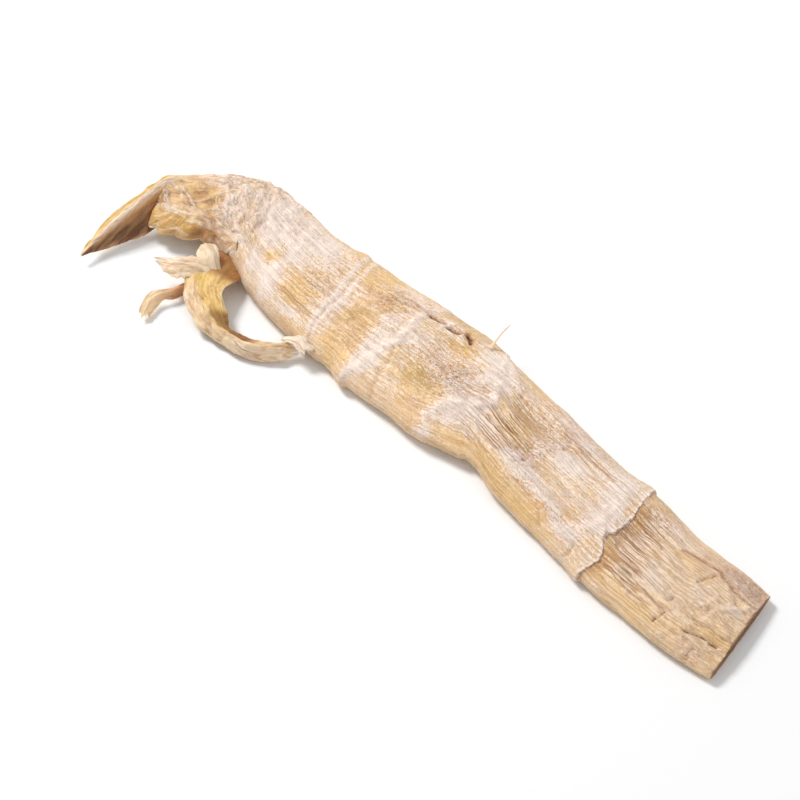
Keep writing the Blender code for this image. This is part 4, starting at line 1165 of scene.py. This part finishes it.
def leafMaterial(name, base):
    # thin dried leaf: fibres along it, tints from the painted masks, a faint shine
    material, wire, shader = newMaterial(name)
    flow = wire.attribute("flow", out=1)
    masks = {mask: wire.attribute(mask) for mask in ("pale", "deep", "olive", "dark")}
    bent = flow.stretched((0.12, 0.25, 1.0)).noise(1.0, 1.0, 0.5)
    run, reach, spare = flow.parts()
    lines = wire.vector(run, reach + (bent - 0.5) * 3.0, spare)
    fibre = lines.stretched((0.06, 1.3, 1.0)).noise(1.0, 2.0, 0.6)
    thin = lines.stretched((0.12, 3.2, 1.0)).noise(1.0, 1.0, 0.5)
    blotch = lines.stretched((0.07, 0.42, 1.0)).noise(1.0, 4.0, 0.66, 0.4)
    grain = flow.stretched((0.9, 0.9, 1.0)).noise(1.0, 3.0, 0.7)
    seams = wire.maths("ABSOLUTE", fibre - 0.5).soft(0.035, 0.008) * blotch.soft(0.35, 0.55)
    colour = wire.colour(base).blend(blotch.soft(0.42, 0.68) * 0.6, leafLook["pale"])
    colour = colour.blend(masks["deep"] * (0.5 + blotch), leafLook["deep"])
    colour = colour.blend(masks["olive"] * (0.5 + blotch), leafLook["olive"])
    colour = colour.blend((masks["pale"] + (grain - 0.5) * 0.5 * masks["pale"]) * 0.95, leafLook["white"])
    colour = colour.blend((fibre - 0.3).soft(0.25, 0.0) * 0.25 + seams * 0.5, leafLook["deep"])
    colour = colour.blend((grain * 0.6 + thin * 0.5).soft(0.62, 0.72) * 0.45, leafLook["white"])
    colour = colour.blend(masks["dark"] * (0.5 + 0.9 * fibre), leafLook["dark"])
    height = fibre * 0.6 + thin * 0.25 + grain * 0.45 - seams * 0.4
    normal = height.bump(0.9, leafLook["bumpDepth"])
    feed(wire, shader, {
        "Base Color": colour,
        "Roughness": 0.45 + (blotch - 0.5) * 0.2 + masks["pale"] * 0.2,
        "Normal": normal,
        "Subsurface Weight": 0.25,
        "Subsurface Radius": (1.0, 0.5, 0.2),
        "Subsurface Scale": 0.0015,
        "Specular IOR Level": 0.4,
    })
    return material


# Each paint gives a leaf's masks: how pale, deep, olive and dark every point is.
def paintTip(run, reach, t, v, pleats, isUnder, **others):
    # an olive strip above the pale crease, a brown flank below it with painted shade that deepens towards its
    # end, amber at the neck
    shadedFlank = ease(v, 0.03, 0.3) * ease(t, 0.12, 0.32)
    crease = np.exp(-(((v - 0.02) / 0.055) ** 2)) + 0.5 * ease(np.abs(v), 0.93, 1.0)
    root = 1 - ease(t, 0.1, 0.3)
    streaks = 0.75 + 0.5 * noise(reach / 1.4, run / 9, 0.5, 71)
    place = reach / 2.2 + 0.6 * noise(run / 12, reach / 4, 0.5, 72)
    veins = (1 - shadedFlank) * ease(creases(place, run / 30, 0.5, 74, 1), 0.75, 0.95)
    # the strip is olive at its outer edge, and creamy with fine brown lines towards the crease
    edge = ease(-v, 0.15, 0.6)
    strip = (1 - shadedFlank) * (1 - edge) * ease(t, 0.1, 0.3)
    place = reach / 1.1 + 0.7 * noise(run / 10, reach / 4, 0.5, 82)
    lines = ease(creases(place, run / 16, 0.5, 83, 1), 0.8, 0.97)
    pale = 0.85 * crease + 0.5 * root * ease(pleats, 0.25, 0.6) + 0.3 * ease(v, 0.75, 1.0) * shadedFlank
    pale = pale + (0.55 * strip + 0.4 * root) * (1 - 0.5 * lines)
    # the flank: deep brown near the root and darker towards its end and far margin, its own brown with
    # painted shade over it
    deep = 0.6 * shadedFlank * (1.2 - t) + 0.1 * root + 0.6 * isUnder + 0.5 * (strip + root) * lines
    olive = (1 - shadedFlank) * edge * ease(t, 0.1, 0.25) * (0.6 + 0.8 * streaks)
    dark = shadedFlank * (0.35 + 0.4 * t + 0.5 * ease(v, 0.15, 0.7)) * streaks
    dark = dark + 0.3 * strip * lines + 0.35 * veins * edge
    dark = dark + 0.2 * (1 - shadedFlank) * ease(t, 0.3, 0.6) * ease(-v, 0.5, 0.9)
    return {"pale": pale, "deep": deep, "olive": olive, "dark": dark}


def paintCurled(run, reach, t, v, pleats, rise, isUnder):
    # painted shade at the root, an amber face, a pale outer flank, painted shade on the inner flap half way,
    # a pale end
    # painted shade at the root, where it lies under the neck
    root = 1 - ease(t, 0.13, 0.22)
    outer = ease(-v, 0.12, 0.4) * ease(t, 0.2, 0.32)
    end = ease(t, 0.55, 0.72)
    # painted shade on the inner flap, inside the curl
    shadedFlap = ease(v + 0.15 * noise(run / 3, 0.4, 0.5, 81), -0.25, -0.1)
    shadedFlap = shadedFlap * ease(t, 0.42, 0.5) * (1 - ease(t, 0.7, 0.78))
    folds = ease(pleats, 0.45, 0.8)
    face = (1 - outer) * (1 - end)
    lines = creases(reach / 1.5 + 0.8 * noise(run / 14, reach / 5, 0.5, 76), run / 24, 0.5, 77, 1)
    lines = ease(lines, 0.84, 0.98) * (outer + end) * ease(noise(run / 6, reach / 2, 0.5, 78), -0.4, 0.1)
    pale = 0.3 * outer + 0.25 * end * (1 - shadedFlap) + 0.7 * ease(t, 0.95, 1.0)
    pale = pale + 0.15 * ease(rise, 0.1, 0.8) + 0.3 * ease(v, 0.9, 1.0)
    return {
        "pale": pale * (1 - 0.8 * root) * (1 - 0.8 * shadedFlap),
        "deep": 1.2 * root + 1.2 * shadedFlap + 0.35 * isUnder + 0.25 * folds,
        "olive": 0.5 * face * (1 - root) + 0.3 * folds * face,
        "dark": 0.08 * folds + 0.4 * lines + 0.5 * root + 0.6 * shadedFlap,
    }


def paintPale(t, v, pleats, rise, isUnder, **others):
    # pale, with brown in the pleats and along the rim towards the end
    folds = ease(pleats, 0.45, 0.8)
    rim = ease(np.abs(v), 0.86, 1.0)
    return {
        "pale": 0.35 + 0.3 * ease(rise, 0.0, 0.5),
        "deep": 0.2 * folds + 0.25 * isUnder + 0.3 * rim * ease(t, 0.3, 0.6),
        "olive": 0.12 * (1 - ease(t, 0.6, 1.0)),
        "dark": 0.12 * folds + 0.2 * rim * ease(t, 0.5, 0.8),
    }


def paintWhite(pleats, rise, isUnder, **others):
    # nearly white, a little darker in the pleats
    pale, dark = 0.8 + 0.2 * ease(rise, 0.0, 0.5), 0.1 * ease(pleats, 0.5, 0.8)
    return {"pale": pale, "deep": 0.2 * isUnder, "olive": 0.0, "dark": dark}


def paintAmber(run, reach, t, v, pleats, isUnder, **others):
    # amber with paler crests, a thin pale rim and a rusty stretch towards its end
    folds = ease(pleats, 0.4, 0.75)
    tipEnd = 1 - ease(t, 0.5, 0.75)
    inner = 1 - ease(v + 0.3 * noise(run / 5, reach / 5, 0.5, 73), -0.6, 0.1)
    rust = ease(t, 0.5, 0.6) * (1 - ease(t, 0.74, 0.86)) * (0.6 + 0.8 * noise(run / 3, reach / 3, 0.5, 79))
    patchy = 0.5 + 0.8 * noise(run / 4, reach / 3, 0.5, 80)
    rims = ease(v, 0.9, 0.99)
    lines = creases(run / 3.2 + 0.8 * noise(run / 5, reach / 3, 0.5, 84), reach / 2.4, 0.5, 85, 2)
    crests, lines = ease(lines, 0.74, 0.86) * (1 - ease(lines, 0.9, 0.96)), ease(lines, 0.9, 0.97)
    pale = 0.4 * inner + 0.6 * rims + 0.5 * folds + 0.3 * (1 - tipEnd) - 0.3 * rust
    return {
        "pale": pale + 0.3 * crests - 0.15 * patchy,
        "deep": 0.35 * patchy + 0.4 * isUnder + 0.5 * rust - 0.3 * folds + 0.35 * lines,
        "olive": 0.6 * tipEnd * (1 - inner) * patchy,
        "dark": (0.5 * rust + 0.12 * lines) * (1 - rims),
    }


def paintShred(t, v, rise, isUnder, **others):
    # brown at the root, pale from half way
    root = 1 - ease(t, 0.3, 0.62)
    return {
        "pale": 0.3 * (1 - root) + 0.3 * ease(rise, 0.1, 0.5),
        "deep": 0.75 * root + 0.3 * isUnder,
        "olive": 0.4 * (1 - root),
        "dark": 0.3 * root * ease(v, 0.2, 0.8),
    }


amberLeaf = leafMaterial("amberLeaf", leafLook["amber"])
paleLeaf = leafMaterial("paleLeaf", leafLook["cream"])
makeBlade("tipLeaf", "tip_leaf", amberLeaf, paintTip)
makeBlade("curledSheath", "curled_sheath", amberLeaf, paintCurled)
makeBlade("tornSheath", "torn_sheath", paleLeaf, paintPale)
makeBlade("tornLobe", "torn_sheath", paleLeaf, paintPale)
makeBlade("sheathShred", "sheath_shred", paleLeaf, paintShred)
makeBlade("endChip", "shoot_body", paleLeaf, paintWhite)
makeBlade("neckFrill", "shoot_body", amberLeaf, paintAmber)
makeBlade("looseFibre", "shoot_body", paleLeaf, paintPale)
print("leaves made")


view = {"azimuth": 48.7, "elevation": 46.0, "distance": 0.9, "lens": 104.0, "aim": (-0.006, 0.0, 0.004)}
studio = {
    "floor": tint(250, 250, 250), "floorHalf": 3.0, "floorDrop": 0.0002, "room": 0.53,
    # place as the camera sees it, to its right, away from it and up, then size and power
    "lights": {"keyLight": (-0.9, 0.9, 1.3, 0.5, 25.0), "fillLight": (1.2, -0.9, 1.3, 1.4, 4.0)},
}


def placeCamera():
    # the camera stands off from its aim at the view's azimuth, elevation and distance, and looks at it
    azimuth, elevation = math.radians(view["azimuth"]), math.radians(view["elevation"])
    flat = math.cos(elevation)
    back = np.array([math.sin(azimuth) * flat, -math.cos(azimuth) * flat, math.sin(elevation)])
    camera = bpy.data.objects.new("camera", bpy.data.cameras.new("camera"))
    camera.data.lens, camera.data.sensor_width = view["lens"], 36.0
    camera.data.clip_start = 0.01
    camera.location = np.array(view["aim"]) + back * view["distance"]
    camera.rotation_euler = Vector(-back).to_track_quat("-Z", "Y").to_euler()
    bpy.context.scene.collection.objects.link(camera)
    bpy.context.scene.camera = camera


def addLight(name, across, away, up, size, power):
    # a soft square light that faces the frame's middle
    azimuth = math.radians(view["azimuth"])
    right = np.array([math.cos(azimuth), math.sin(azimuth), 0.0])
    ahead = np.array([-math.sin(azimuth), math.cos(azimuth), 0.0])
    place = right * across + ahead * away + np.array([0.0, 0.0, up])
    data = bpy.data.lights.new(name, "AREA")
    data.shape, data.size, data.energy = "SQUARE", size, power
    light = bpy.data.objects.new(name, data)
    light.location = place
    light.rotation_euler = Vector(-place).to_track_quat("-Z", "Y").to_euler()
    bpy.context.scene.collection.objects.link(light)


def makeStudio():
    half, low = studio["floorHalf"], -studio["floorDrop"]
    corners = np.array([(-half, -half, low), (half, -half, low), (half, half, low), (-half, half, low)])
    floor = makeMesh("floor", corners, np.array([(0, 1, 2, 3)]))
    material, wire, shader = newMaterial("paleFloor")
    feed(wire, shader, {"Base Color": studio["floor"], "Roughness": 0.9})
    floor.data.materials.append(material)
    world = bpy.data.worlds.new("room")
    world.use_nodes = True
    background = world.node_tree.nodes["Background"].inputs
    background["Color"].default_value = (1.0, 1.0, 1.0, 1.0)
    background["Strength"].default_value = studio["room"]
    bpy.context.scene.world = world
    for name, numbers in studio["lights"].items():
        addLight(name, *numbers)
    bpy.context.scene.view_settings.view_transform = "Standard"


placeCamera()
makeStudio()
print("camera and lights placed")
